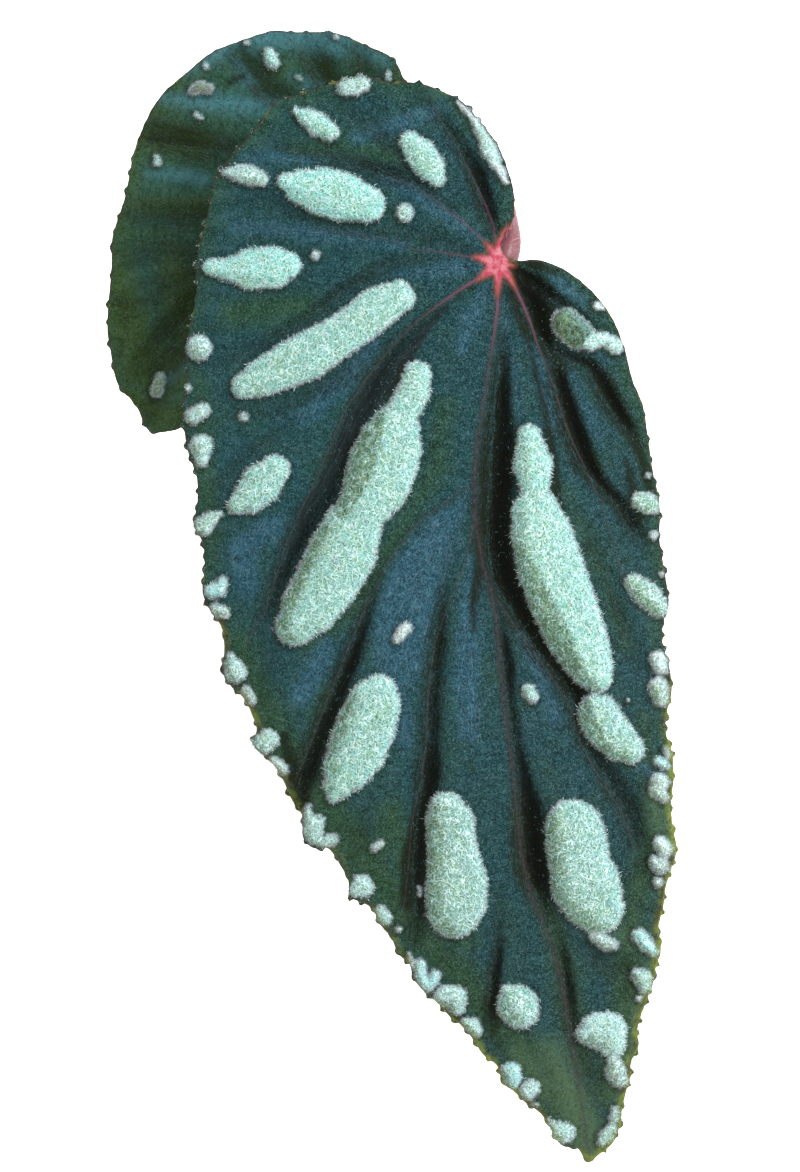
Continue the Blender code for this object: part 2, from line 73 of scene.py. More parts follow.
# Margin of the front leaf from its notch over the upper lobe, down the left side to the tip and back
FRONT_EDGE = (
    (0.2, 3), (0.6, 4.5), (1.6, 5.8), (2.3, 8.6), (2.2, 12), (1.2, 15.5), (-0.4, 19.5), (-3, 23),
    (-6.2, 26.6), (-10.5, 28.8), (-14, 29.9), (-19, 30), (-23, 31), (-28, 29.8), (-33, 28.1), (-37.5, 26.5),
    (-40.5, 22.5), (-44.2, 18.4), (-46.8, 15), (-48.2, 10.5), (-49.5, 5), (-50.6, 0), (-50.6, -5),
    (-51.6, -10.5), (-52.3, -14.5), (-52.3, -20), (-52.9, -25), (-52.2, -31), (-50.6, -36), (-50.5, -40.5),
    (-51.1, -43.8), (-49.6, -46.8), (-49.3, -51), (-49.6, -55), (-48.3, -58.2), (-46.4, -61), (-46, -65),
    (-46.4, -68), (-44.8, -70.8), (-42.8, -72.6), (-41.2, -75.8), (-40.6, -78), (-41.3, -80.3),
    (-39.4, -82.3), (-37.6, -84), (-36.2, -86.3), (-34.8, -89.5), (-33, -92.3), (-32.9, -95.8),
    (-31.2, -97.7), (-28.6, -97.8), (-26.5, -100.8), (-25.3, -103.2), (-25.2, -105.7), (-23.4, -106.6),
    (-21.4, -107.7), (-20, -110.5), (-18.2, -112.6), (-17, -115.3), (-15.2, -117), (-14.4, -119.6),
    (-12.5, -121.8), (-10.4, -123.6), (-8.5, -125.7), (-6.2, -127.5), (-4.4, -129.8), (-2.8, -132.2),
    (-0.5, -134), (0.3, -136.8), (2.2, -138.2), (4.2, -140.1), (6.6, -141.8), (8.3, -144.3), (10.2, -147.2),
    (12.8, -147.7), (14, -149.4), (15.1, -150), (16.6, -148.6), (18.8, -146.8), (20, -143.8),
    (20.4, -140.9), (21, -138.3), (21.7, -136), (21.9, -133.2), (23.1, -130.6), (22.9, -127.8),
    (24, -124.2), (25.5, -120.2), (26, -117.3), (26.8, -114.8), (26.4, -111), (27.2, -107.5),
    (27.6, -104.3), (28.6, -101), (29.4, -97.8), (28.7, -93.6), (28.5, -89.6), (28.9, -86.3), (28.7, -82),
    (27.5, -77.8), (28, -74), (28.6, -71.5), (28.2, -67.5), (27.1, -63.5), (27.2, -60), (28.1, -57),
    (27.5, -52), (26.6, -46.5), (26.6, -40.5), (25.5, -35), (24.6, -29), (23.8, -24), (22, -19.5),
    (20.6, -14), (18.3, -8.7), (14.8, -4.4), (10.5, -1.2), (6.5, 0.3), (3.4, 0.2), (1.7, 0.4), (0.5, 1.4),
)

# Raised pads of the front leaf by tone, each a chain of discs: x, y and radius
FRONT_PADS = {
    "mint": (
        ((-15, 20, 1.8), (-13.3, 18, 2.7), (-11.7, 15.8, 2.5), (-10.6, 14, 1.5)),
        ((-17, -5.8, 2.8), (-20.5, -7.7, 3.6), (-24.5, -10.8, 3.5), (-28, -13.2, 3.6), (-32, -15.6, 4.1),
         (-36, -17.5, 3.7), (-40, -19.5, 3.1), (-42.8, -20.8, 2.1)),
        ((-37.6, -34.7, 2.6), (-39.8, -37, 3.5), (-41.8, -39.2, 2.8), (-44.2, -40.7, 1.4)),
        ((-13.8, -18.9, 2.4), (-14.5, -22, 2.8), (-16.2, -25, 2.8), (-17.6, -28, 4.2), (-18.6, -31, 5.5),
         (-19.6, -34, 5.8), (-20.6, -37, 5.5), (-22.1, -39.8, 4.6), (-23.6, -42, 4.1), (-24.7, -44.5, 5),
         (-26.3, -48.5, 5.7), (-29, -53.5, 5.4), (-31.8, -57.5, 4.8), (-34.2, -60.8, 3.3)),
        ((4.8, -29, 2), (5.4, -33.8, 3.4), (5.9, -38.6, 2.3), (6, -42, 4.2), (6.8, -45.2, 5.1),
         (8.1, -50, 5.5), (10.2, -56, 5.5), (12.5, -61.8, 5.1), (14, -65, 4.5), (15.2, -67.5, 3.7),
         (16.4, -69.4, 2.4)),
        ((-20.3, -71.9, 3.2), (-21, -73.8, 4.5), (-22.4, -77.5, 5), (-23.9, -81.5, 4.9), (-25.4, -84.3, 4.1),
         (-27, -87.2, 2.5), (-27.9, -89.2, 1.1)),
        ((-34.2, 25.2, 0.6), (-32.5, 24.3, 1.5), (-30.5, 23, 2.1), (-28.5, 21.8, 1.7)),
    ),
    "sage": (
        ((-9, -91.2, 3), (-8.3, -93.5, 4.1), (-8, -97, 4.1), (-7.7, -100, 4.5), (-7.2, -103.5, 5.2),
         (-7.3, -106.5, 5.1), (-7.7, -108.2, 4.5)),
        ((15.8, -74.3, 2.4), (16.4, -75.6, 3.6), (17.6, -77.6, 3.7), (19.8, -79.9, 3.3), (21.6, -81.2, 2.5)),
        ((11.3, -92.6, 3), (12.3, -94.5, 4.9), (12.8, -97.5, 5.2), (13.4, -100.8, 5.2), (14.2, -103.6, 5.8),
         (15.1, -105.8, 5.3), (16.3, -107.6, 4.4)),
        ((1.2, -121.5, 1.2), (2.9, -123.9, 3.5), (3.3, -124.6, 3.2)),
    ),
    "frosted": (
        ((14, -128.7, 1.5), (16.2, -128.2, 3.1), (17.8, -128.3, 3.4), (18.6, -130.2, 2.4)),
    ),
    "aqua": (
        ((-36, 13.5, 1.3), (-33, 12.5, 3), (-29.5, 11.7, 4.1), (-26, 10.8, 4.1), (-22.3, 9.6, 3.1)),
        ((-48.3, -0.9, 1.4), (-45.5, -1.2, 1.9), (-41.5, -1.2, 3.5), (-38, -0.9, 3.6), (-35.5, -0.5, 2.4)),
    ),
    "leafy": (
        ((11, -10.2, 2.6), (13, -12, 2.7)),
    ),
    "frost": (
        ((-46, 15, 0.6), (-44, 14.8, 1.4), (-42, 14.5, 1.8), (-40, 13.9, 1.4)),
        ((-15.9, 8.2, 1.5),),
        ((15, -13.2, 1.7), (17.3, -12.8, 1.2), (19.3, -14, 1.4)),
        ((-25.8, 29.1, 1.5), (-24.5, 29.4, 1.8), (-23, 29.7, 1.4)),
        ((-4.2, 23.5, 0.8), (-2.5, 20.5, 1.1), (-1.8, 18.5, 1.5), (-0.8, 16.5, 1.1)),
        ((-30.8, 1.1, 0.8),),
        ((-42.8, -25.8, 0.8),),
        ((-50.2, -14.3, 2.2),),
        ((-52.2, -21, 0.7),),
        ((-51.2, -25.8, 1.4), (-49.5, -24.7, 1.3)),
        ((-49.8, -30.8, 2.1), (-49.8, -33.2, 1.1)),
        ((-49.5, -44, 1.7), (-48.3, -42.9, 1.4), (-46.8, -42, 0.7)),
        ((24.7, -35.6, 0.5),),
        ((-45, -65.8, 0.8), (-44.6, -67.2, 1.5), (-44.2, -68.3, 2)),
        ((-39.5, -80.2, 2), (-38.6, -79.6, 1.8), (-37.6, -79.6, 0.8)),
        ((-32, -90.9, 0.6), (-32.1, -92, 0.9), (-31.4, -93.6, 1.6), (-31.3, -94.9, 1.8),
         (-30.3, -93.3, 1.2)),
        ((-31.2, -96, 1.2), (-29.6, -96.8, 1), (-28.3, -96.4, 1.1), (-27.5, -96, 0.7)),
        ((-23.2, -104.2, 2.1), (-24.2, -104.8, 1.3)),
        ((-20, -108.4, 1.2), (-19.3, -109.3, 1.4)),
        ((-15.2, -115.2, 0.4), (-14.8, -116.6, 0.5), (-14.7, -117.5, 0.4)),
        ((-10, -122.6, 1.3), (-8.8, -122.4, 2), (-7.3, -122.6, 1.9), (-7.2, -124.4, 1.3)),
        ((-5.6, -126.9, 1.1), (-4.6, -127.3, 1.4), (-4, -128.1, 1.1)),
        ((5.2, -137.6, 1.5), (4.4, -138.5, 1.4)),
        ((8.2, -143.1, 0.5), (9, -144.2, 1), (10.2, -145.1, 2), (10.9, -145, 1.6)),
        ((19.3, -141.6, 1), (19.1, -142.9, 1)),
        ((18.6, -144.6, 1.1), (17.7, -145.8, 1.3), (17, -146.6, 0.9)),
        ((23, -118.8, 1.2), (23.8, -119.5, 1.7), (24.2, -120.6, 1.3), (23.9, -121.4, 0.8)),
        ((4.7, -71.4, 1.2), (5.3, -72.4, 1.2)),
        ((27.7, -81.3, 0.6), (28, -82.3, 0.6)),
    ),
    "ice": (
        ((-48.3, -55, 1.2), (-47, -54.5, 1.5), (-46.2, -53.2, 0.9)),
        ((23.2, -112.3, 1.3), (24, -113.2, 1.4), (24.8, -114.2, 1.2), (25.5, -115, 0.9), (26.5, -115, 0.5)),
        ((-13.3, -117.2, 1.1), (-13.3, -118.7, 1.1), (-12.8, -120, 1.1), (-12.2, -120.8, 1),
         (-11.2, -119.8, 1.1), (-10.9, -118.9, 1)),
        ((1.2, -134.8, 1.3), (1.9, -134.9, 1.7), (2.1, -136, 1.6), (2.2, -137, 1)),
        ((26.3, -83.2, 0.8), (27.2, -83.6, 1), (27.8, -84.1, 0.6)),
    ),
    "white": (
        ((-7.2, 26.6, 0.3), (-6.4, 26, 0.5), (-4.2, 23.5, 0.6)),
        ((-0.8, 16.5, 0.9), (0.4, 14.4, 0.7), (1, 13.2, 0.4)),
        ((16.2, -7.3, 0.8), (16.9, -7.5, 0.7)),
        ((25.5, -45.6, 0.8),),
        ((26.9, -52, 0.5),),
        ((-17.3, -63, 0.7), (-16.5, -61.8, 1.1), (-15.7, -61, 1)),
        ((26.4, -66.3, 1.6), (26.7, -67.6, 1.4)),
        ((-37.8, -83.2, 0.9), (-37, -84.2, 1.3), (-36.3, -84.6, 1.1)),
        ((-17, -111.2, 0.6),),
        ((26.7, -97, 1.4), (27.5, -98, 1.5), (28.2, -97.9, 0.9)),
        ((23.1, -122.8, 0.6),),
        ((21.2, -73, 0.3), (21.3, -73.1, 0.3)),
        ((5.3, -140.3, 0.3), (6.2, -140.5, 0.3)),
    ),
    "mist": (
        ((23.4, -39.8, 1.6), (24.8, -40.3, 1.8), (25.8, -40.8, 1.1)),
        ((22.3, -53.5, 1.6), (24.5, -55.5, 2.3), (26.5, -57.7, 1.7)),
    ),
    "lilac": (
        ((-47.4, -58, 1.2), (-46.2, -58.4, 1.2)),
        ((-42.3, -71.6, 1), (-41.7, -73, 1.1)),
        ((26.4, -71, 1.8), (26.8, -72.8, 1.4)),
        ((26.6, -86.8, 1.7), (26.3, -88, 1.6), (27.3, -89.3, 1)),
        ((25.7, -100, 1.1), (26.7, -100.7, 1.5), (27.8, -101, 0.9)),
        ((26.3, -103.4, 0.9),),
        ((15.6, -112.6, 0.9), (16.5, -112.8, 1.2), (17.6, -113.6, 1.3), (18.8, -113.8, 1)),
        ((18.9, -132.8, 1.1), (19.3, -135, 1.9), (20, -136.3, 1.5)),
        ((-21, -97.7, 0.7), (-20, -97, 0.7)),
        ((-13.5, -104.3, 0.35), (-13.4, -105.6, 0.3)),
    ),
}

# Thin veins of the front leaf from the stalk joint outwards
FRONT_VEINS = (
    ((-0.5, -0.5), (-0.7, 3), (-1.1, 6), (-2.4, 9.4), (-4.7, 14.4), (-7.2, 19), (-9.5, 23), (-11.5, 26.5)),
    ((-0.5, -0.5), (-1.8, 3), (-4.2, 4.8), (-6.5, 7), (-9, 8.7), (-12, 11), (-16, 13.5), (-22, 16.5),
     (-30, 18), (-38, 19)),
    ((-0.5, -0.5), (-2.5, 0.3), (-6, 1), (-10, 1.7), (-14, 2), (-18, 3.5), (-24, 4.5), (-34, 5.5), (-44, 6)),
    ((-0.5, -0.5), (-2, -2), (-5, -3.5), (-8, -5.5), (-11, -7.7), (-14, -10), (-18, -14), (-22, -19),
     (-26, -25), (-28.5, -31), (-31, -37), (-33.5, -42), (-35.7, -47.3), (-37.5, -53), (-39, -58),
     (-42, -63)),
    ((-0.5, -0.5), (-0.3, -3), (-0.5, -8), (-1, -12), (-2, -18), (-3, -25), (-4, -31), (-4.3, -38),
     (-4, -44), (-3, -50), (-1.5, -55), (-0.6, -60), (0, -68), (0.8, -76), (1.7, -81.4), (2.3, -87),
     (2.9, -93), (3.5, -98.5), (5, -105), (7.2, -110), (8.8, -115), (10, -119), (10.9, -124), (11.6, -129),
     (12.6, -134), (13.3, -139), (14.2, -144), (14.9, -149)),
    ((-0.5, -0.5), (1, -1.8), (2.2, -3.7), (3.8, -7), (5, -10), (6.3, -14), (7.5, -17), (9, -21),
     (10.5, -26), (12.5, -31), (15, -36), (17, -41), (19, -47), (20.5, -53)),
    ((-4.1, -37), (-6.7, -38.2), (-8.9, -39.7), (-12.2, -42.2), (-15, -44.7), (-17.8, -48.6), (-20, -52.4),
     (-21.6, -55.8), (-23.5, -60.2), (-26, -66), (-29, -73.5), (-31.5, -80), (-34, -86)),
    ((-3.9, -40), (-4.5, -44.1), (-5.6, -49.1), (-7.2, -54.1), (-9.2, -58.6), (-11, -64), (-12, -72),
     (-12.3, -80), (-13.3, -87), (-14.8, -94), (-15.4, -102), (-16.4, -110)),
    ((-1.6, -54.5), (1, -58.6), (4.8, -64.1), (9.3, -70.2), (12, -75), (13.2, -80), (16.6, -86),
     (20.2, -91.5), (22, -97)),
)

# Folds beside the veins of the front leaf: x, y, half width and depth of shade
FRONT_FOLDS = (
    ((-0.6, 6, 0.8, 0.7), (-1.7, 9.5, 1.2, 0.9), (-3.3, 14.5, 1.3, 0.9), (-5.4, 18.7, 1, 0.7),
     (-8.3, 22.8, 0.9, 0.6), (-12, 27.4, 0.8, 0.4)),
    ((-13, 14, 0.6, 0.3), (-15.5, 16.5, 0.8, 0.5), (-18.3, 20.3, 0.9, 0.5), (-22, 24, 1, 0.4),
     (-27, 27.5, 0.8, 0.2)),
    ((-8, 9.3, 0.4, 0.5), (-14.2, 13.7, 0.6, 0.6), (-18.3, 15.3, 1.1, 0.7), (-23.3, 16.8, 1.1, 0.6),
     (-31.7, 19.1, 0.9, 0.3), (-39, 20.8, 0.8, 0.15)),
    ((-6, 3, 0.6, 0.4), (-15, 5.4, 1, 0.4), (-23.3, 5.8, 0.9, 0.4), (-30, 7.4, 0.9, 0.4),
     (-37, 10.8, 1, 0.35), (-43, 11.5, 1, 0.2)),
    ((-9, 1.6, 0.5, 0.3), (-19, 0.2, 0.8, 0.5), (-26.7, -4.2, 0.9, 0.6), (-33.3, -9.2, 0.9, 0.5),
     (-41, -13.8, 0.9, 0.5), (-47.5, -16.3, 0.8, 0.3)),
    ((-9.5, -6, 0.6, 0.3), (-18.3, -13.4, 1.2, 0.4), (-26.7, -18.8, 1.2, 0.5), (-36.7, -23.3, 1, 0.4),
     (-43, -24, 0.8, 0.2)),
    ((-3, -3.2, 0.3, 0.3), (-9, -7.5, 0.5, 0.5), (-15, -12, 0.8, 0.6), (-18.6, -16.8, 1, 0.7),
     (-21.9, -23, 1.3, 0.8), (-24.2, -28.8, 1.5, 0.8), (-26.3, -34, 1.6, 0.8), (-28.2, -38.8, 1.6, 0.78),
     (-31.3, -43, 1.6, 0.78), (-33.6, -47.2, 1.4, 0.78), (-35.8, -52.2, 1.2, 0.74),
     (-37.7, -57.2, 1.2, 0.65), (-39, -61, 1, 0.3)),
    ((-33, -26.5, 0.5, 0.2), (-37, -29.3, 0.7, 0.4), (-42.5, -33, 0.8, 0.4), (-47, -38, 0.7, 0.3)),
    ((1, -5, 0.4, 0.2), (1.3, -10, 0.6, 0.35), (1, -16, 0.9, 0.7), (0.6, -23, 1.3, 1), (0.7, -29, 2, 1),
     (0.5, -35, 2.3, 1), (0.1, -41, 2.3, 1), (-0.2, -46, 2.3, 1), (1, -52.2, 2.1, 1), (3.4, -57.5, 1.9, 1),
     (6.8, -62.8, 1.6, 1), (10.8, -67.4, 1.7, 0.95), (13.2, -71.8, 1.5, 0.9), (13.4, -75.6, 1, 0.8),
     (14.3, -79.7, 0.9, 0.7), (18.6, -85, 1.5, 0.7), (22.3, -90.5, 1.7, 0.7), (23.6, -96.3, 1.6, 0.6),
     (24.5, -101, 1, 0.4)),
    ((-0.2, -58, 0.5, 0.4), (0.8, -63, 0.8, 0.8), (1.6, -67.2, 0.9, 0.9), (2, -73, 0.7, 0.75),
     (3, -79.7, 0.8, 0.7), (4.4, -86.3, 1.2, 0.85), (5.5, -91.3, 1.9, 1), (6, -96.3, 2.2, 1),
     (6.5, -101, 2.2, 1), (7.6, -105.3, 1.8, 0.8), (9.8, -110.5, 1, 0.4), (11, -116.3, 0.8, 0.75),
     (11.8, -121.3, 0.9, 0.85), (12.3, -126.3, 0.9, 0.7), (13.4, -130.5, 0.9, 0.4), (15.2, -134.3, 1.4, 0.5),
     (17, -137.5, 1, 0.3)),
    ((-4.6, -39, 0.3, 0.2), (-7.5, -47, 0.5, 0.3), (-9.1, -56, 0.8, 0.6), (-9.7, -63, 1.1, 0.78),
     (-10.6, -71.3, 1.2, 0.74), (-10.9, -79.7, 1.2, 0.78), (-11.2, -86, 1.6, 1), (-12.1, -90.5, 1.2, 1),
     (-12.9, -95.5, 1.1, 0.95), (-13.3, -100, 1.2, 0.95), (-13.2, -104, 1.2, 0.9), (-13, -108.5, 1.1, 0.8),
     (-13.6, -112.6, 1.1, 0.5)),
    ((-7, -40, 0.5, 0.2), (-13, -43.5, 0.7, 0.3), (-17.5, -49, 0.8, 0.25), (-20.6, -54.5, 0.9, 0.5),
     (-22.3, -60, 1, 0.75), (-24.4, -66.3, 1.2, 0.95), (-27.3, -73.5, 1.2, 0.95), (-29.8, -79.7, 1.3, 0.95),
     (-31.6, -85, 1.7, 0.9), (-32.6, -89.3, 1.4, 0.7)),
    ((2.4, -1.2, 0.8, 0.8), (4.1, -3.2, 1.8, 1), (6, -6.5, 2.3, 1), (7, -10.3, 1.8, 1),
     (8.4, -13.6, 0.9, 0.8), (9.2, -16, 0.6, 0.4), (10.2, -20, 1.2, 0.95), (11.9, -25.3, 1.4, 1),
     (13.4, -29.5, 1.5, 1), (14.5, -32.9, 1.4, 1), (15.8, -35.2, 1, 0.95), (17.7, -37.5, 0.9, 0.8),
     (20.4, -40, 1, 0.75), (22.6, -43.9, 1.2, 0.75), (24.6, -47, 0.8, 0.4)),
    ((8.2, -13.4, 0.5, 0.5), (11.2, -15.4, 0.8, 0.8), (15, -16.9, 1, 0.8), (16.7, -19, 1.1, 0.85),
     (18.5, -22.5, 1.2, 1), (20.2, -25.5, 1.1, 0.9), (21.9, -27.6, 0.9, 0.8), (23.4, -30, 0.7, 0.4)),
    ((3.4, -1.4, 0.6, 0.9), (6.2, -3.2, 0.9, 0.8), (10, -6.2, 0.8, 0.75), (14.3, -9.3, 0.6, 0.7),
     (17, -12, 0.5, 0.4)),
    ((13.5, -42, 0.6, 0.2), (16.3, -47.5, 0.8, 0.35), (19, -54, 0.8, 0.35), (21.7, -60.5, 0.9, 0.4),
     (24, -67.2, 0.8, 0.3)),
    ((0.6, -104, 0.4, 0.2), (0.2, -109, 0.6, 0.4), (0, -115, 0.7, 0.8), (-0.6, -119.7, 0.8, 0.95),
     (-1.1, -124.5, 0.9, 0.9), (-0.6, -129, 1, 0.5), (0.6, -132.5, 0.8, 0.2)),
    ((12.6, -111.8, 0.8, 0.3), (15, -113.8, 1.1, 0.45), (18.3, -116.6, 1.3, 0.45), (22, -117.4, 1.2, 0.5),
     (22.6, -121, 1, 0.4)),
    ((-21.5, -91, 0.6, 0.2), (-22.6, -95.5, 1, 0.5), (-24, -99, 0.7, 0.2)),
    ((-36.5, -64, 0.8, 0.3), (-38.6, -68, 1, 0.3), (-39.3, -74, 0.8, 0.2)),
)

# Pink star over the stalk joint: rays of discs
FRONT_STAR = (
    ((-0.2, -0.2, 1.7), (0.1, 1.5, 1.4), (0.5, 3.2, 1), (0.9, 4.8, 0.6), (1.6, 6, 0.2)),
    ((-0.4, 0, 1.3), (-1.3, 1.9, 0.6), (-2.5, 3.2, 0.1)),
    ((-0.4, 0, 1.4), (-2.4, 0.4, 0.8), (-4.4, 0.9, 0.15)),
    ((-0.3, -0.5, 1.4), (-2.2, -1.8, 0.7), (-3.8, -3, 0.1)),
    ((-0.2, -0.5, 1.3), (-0.3, -2.8, 0.6), (-0.5, -5.4, 0.2)),
    ((0, -0.5, 1.2), (1.2, -2, 0.55), (2.5, -4.4, 0.1)),
    ((0.2, -0.4, 1), (1.6, -0.5, 0.4), (2.4, -0.6, 0.1)),
)

# Painted bluish sheen on the bulges of the front leaf: x, y and radius
FRONT_BLUE_SHEENS = (
    ((-4, 3.8, 0.8), (-8, 7, 1.3), (-13, 10.8, 1.4), (-19, 14.2, 1)),
    ((-4, -0.9, 0.9), (-8, -1, 1.6), (-13, -1.8, 1), (-17, -2, 0.6)),
    ((-16, 2.8, 0.8), (-24, 3.8, 1.1), (-34, 5.2, 1.1), (-44, 5.8, 0.9)),
    ((-30, 16.6, 0.6), (-38, 17.6, 0.8), (-43, 17.4, 0.5)),
    ((-2.5, -4.5, 0.9), (-4.5, -9, 1.5), (-6.5, -14, 1.4)),
    ((0.8, -7, 0.3), (1.4, -13, 0.5), (2.6, -18, 0.6), (2.9, -26, 0.6)),
    ((5, -14, 0.5), (6.6, -19, 0.9), (8.6, -26, 0.9)),
    ((11.8, -18.6, 0.3), (13.9, -23.6, 0.6), (16, -28.6, 0.5)),
    ((8, -15.6, 0.3), (9, -18, 0.4)),
    ((7.3, -1.7, 0.3), (11, -4, 0.9), (13.6, -6.6, 0.8)),
    ((-21, -14, 1), (-27, -21, 1.8), (-33, -26, 1.4)),
    ((-38, -44, 2), (-43, -48, 2.6), (-42, -54, 1.6)),
    ((-6.4, -40.4, 1), (-9, -44, 2.8), (-12, -49, 4.4), (-14.6, -54, 5), (-16.2, -60, 4.8), (-17, -66, 4),
     (-17.6, -72, 2)),
    ((-5, -49, 0.4), (-4.8, -55, 1.3), (-5.4, -62, 2), (-5.4, -70, 2.2), (-5, -78, 1.8)),
    ((3.4, -62, 0.8), (6.5, -68, 1), (9, -76, 1)),
    ((-29, -64, 1.6), (-33, -72, 2)),
    ((24, -84.5, 0.9), (26.6, -86, 0.9)),
    ((-24, 20.5, 1), (-14, 24, 1.4), (-9.5, 26, 0.8)),
    ((-17, -71, 1.4), (-15.8, -80, 1.2)),
)

# Pale yellow-green places near the tip of the front leaf: x, y and radius
FRONT_PALES = (
    ((8.6, -131, 1.5), (11.6, -138, 2.6), (14, -145, 2.6), (15.2, -149, 1.6)),
    ((26.6, -112, 0.6), (25, -119, 1), (22.2, -128, 1.2), (20.2, -138, 1.8)),
    ((14, -110, 0.2), (17, -112.6, 0.5), (20.4, -112, 0.3)),
    ((3, -132, 0.6), (8, -138, 1)),
    ((25.4, -90, 0.5), (26.6, -94, 0.8)),
)

# Stretches of the front leaf's margin with a yellow rim: x, y and radius
FRONT_WARMS = (
    ((28.5, -70, 1), (29, -82, 2), (29, -98, 2.5), (26, -115, 3), (22, -133, 3), (16, -149, 3)),
    ((-46.5, -60, 0.6), (-43, -70, 0.9), (-37.5, -82, 0.9), (-32, -91, 1), (-25, -100, 1.1),
     (-17, -112, 1.1), (-8, -125, 1.2), (1, -137, 1.4), (9, -146, 2)),
)

# Greener places of the front leaf: x, y and radius
FRONT_GREENS = (
    ((-9.5, -24, 0.8), (-10.5, -34, 1.4), (-14.6, -41, 1.2), (-19.5, -49, 1.2), (-24.6, -58, 1.3),
     (-32, -64, 1)),
    ((-33, -7, 2), (-44, -8.5, 2.4)),
    ((10.6, -38, 0.2), (13.6, -44, 0.4), (17.5, -54, 0.6), (21, -64, 0.8)),
    ((-33, 19, 1), (-25, 19.5, 1.4), (-18, 17.5, 0.8)),
    ((3, -92, 0.8), (4.4, -100, 1.4), (8.6, -110, 1.4), (11, -118, 2), (12, -127, 2), (14, -134, 2)),
    ((-12.4, -100, 1), (-11, -108, 1.4), (-6, -113, 2)),
    ((-29, -72, 0.6), (-31, -80, 1.2), (-32, -86, 1.6)),
    ((-44, -63, 2), (-41, -72, 3), (-37, -80, 3.4), (-30, -91, 4), (-24, -98, 3.6), (-15, -110, 3),
     (-6, -120, 3), (4, -132, 3.4), (12, -142, 4), (15, -148, 3)),
    ((24, -76, 1), (26, -95, 2), (22, -108, 2.4), (21, -124, 3), (18, -138, 3)),
    ((-16, -100, 2), (-18, -92, 2), (-21, -102, 2)),
    ((-50, -20, 1), (-49, -38, 1.4), (-48, -50, 1)),
)

# Grey-brown flank beside the lower left vein: x, y and half width
FRONT_BANKS = (
    ((-9, -7.6, 0.2), (-12.6, -11.6, 0.7), (-15.6, -15.8, 1.4), (-19.4, -19.6, 2), (-22.6, -23.7, 1.5),
     (-24.8, -27.2, 1.3), (-26.2, -30.6, 1.1), (-27.8, -33.8, 1), (-29.2, -36.5, 0.9), (-31.3, -39.6, 0.7),
     (-33, -43, 0.5), (-35, -47.5, 0.3)),
)

# Blackish olive places of the front leaf, partly its own colour and partly painted shade: x, y and radius
FRONT_GLOOMS = (
    ((2.8, -1.5, 0.8), (5.5, -3.5, 1.9), (7.4, -6.2, 2.1), (7.1, -9.6, 1.8), (8, -13.6, 1.7),
     (10, -18.5, 1.5)),
    ((3, 0, 0.6), (6, -0.6, 0.9), (9, -1.6, 0.5)),
    ((-36, -79, 0.8), (-34.4, -85, 1.4), (-32.6, -91, 1.4)),
    ((13.6, -15.6, 0.6), (17, -19, 1.2), (20, -24.5, 1.2)),
    ((-21, -24.5, 0.5), (-17.6, -19.4, 1.4), (-16, -16, 0.6)),
    ((0.4, -33, 1.6), (0.2, -46, 2), (2.4, -55, 1.6), (8, -65, 1.6), (12, -71, 1.6)),
    ((-2.6, -30, 0.4), (-2.6, -42, 0.8), (-3.4, -50, 0.8), (-4.4, -56, 0.9), (-4.4, -61, 0.4)),
    ((10.6, -22, 1), (13, -29, 1.6), (15.4, -34, 1.4), (18, -38, 1), (22, -43, 1.2)),
    ((18, -20, 1.2), (20.6, -26, 1.2), (24, -34, 0.8), (25.6, -40, 0.8)),
    ((4.4, -90, 0.8), (5, -97, 1.6), (6, -103, 1.6)),
    ((-14, -92, 0.5), (-15.6, -99, 1), (-15.8, -107, 1)),
    ((3.2, -8.6, 0.5), (4.8, -14, 0.5), (6.4, -20.6, 0.6), (8, -27, 0.6), (9.6, -34, 0.3)),
    ((1.4, -4.6, 0.2), (2.8, -7, 0.6)),
    ((7.4, -25, 0.5), (8.8, -32, 0.9), (9.4, -39, 0.9), (10.6, -46, 0.9), (13, -54, 0.5)),
    ((21, -33, 0.5), (22.4, -39, 1), (23.6, -45, 0.6)),
)

# Olive shade on the flanks of the largest pads: x, y and half width
FRONT_SHADES = (
    ((-19.6, -24.4, 0.7), (-21.2, -27.2, 1.9), (-22.8, -30.8, 2.7), (-23.9, -34.4, 2.9), (-25, -37.8, 2.3),
     (-26.4, -41.2, 1.6)),
    ((-29, -44, 0.8), (-31.3, -48.5, 1.2), (-33.8, -53.5, 1.4), (-36, -58, 1.5), (-36, -61, 1)),
    ((1.8, -44, 0.3), (3, -48, 1.3), (5, -53, 1.8), (7.2, -58, 2.3), (9.2, -62.6, 2.6), (12, -67, 1.8),
     (14.4, -70, 0.5)),
    ((14.2, -73, 0.4), (15, -76, 1), (17, -80, 1), (19.6, -83, 0.5)),
    ((-12, -92.6, 0.8), (-11.8, -98, 1.1), (-11.8, -104, 1.1), (-10.8, -109, 0.6)),
    ((8.6, -92.6, 0.6), (8, -98, 1.1), (8.8, -103.4, 1.2), (10, -107, 0.8)),
    ((-24.4, -72, 0.6), (-26, -76, 1.1), (-27.8, -80.6, 1.1), (-29, -85, 0.9)),
)

# Stretches of the margins with hardly any teeth: x, y and radius
FRONT_CALM_MARGIN = (
    ((4, 1, 2), (12, -1.5, 3), (18, -8, 3), (21, -15, 3), (23.5, -24, 3)),
    ((1, 10, 3), (-2, 20, 3)),
)
BACK_CALM_MARGIN = (
    ((-58, 22, 3), (-52, 32, 3), (-40, 38, 3)),
)

# A vein that ends above this height shows less, by this share; the midrib has a halo
UPPER_VEINS_END = -50
UPPER_VEIN_SHARE = 0.35
MIDRIB = FRONT_VEINS[4]

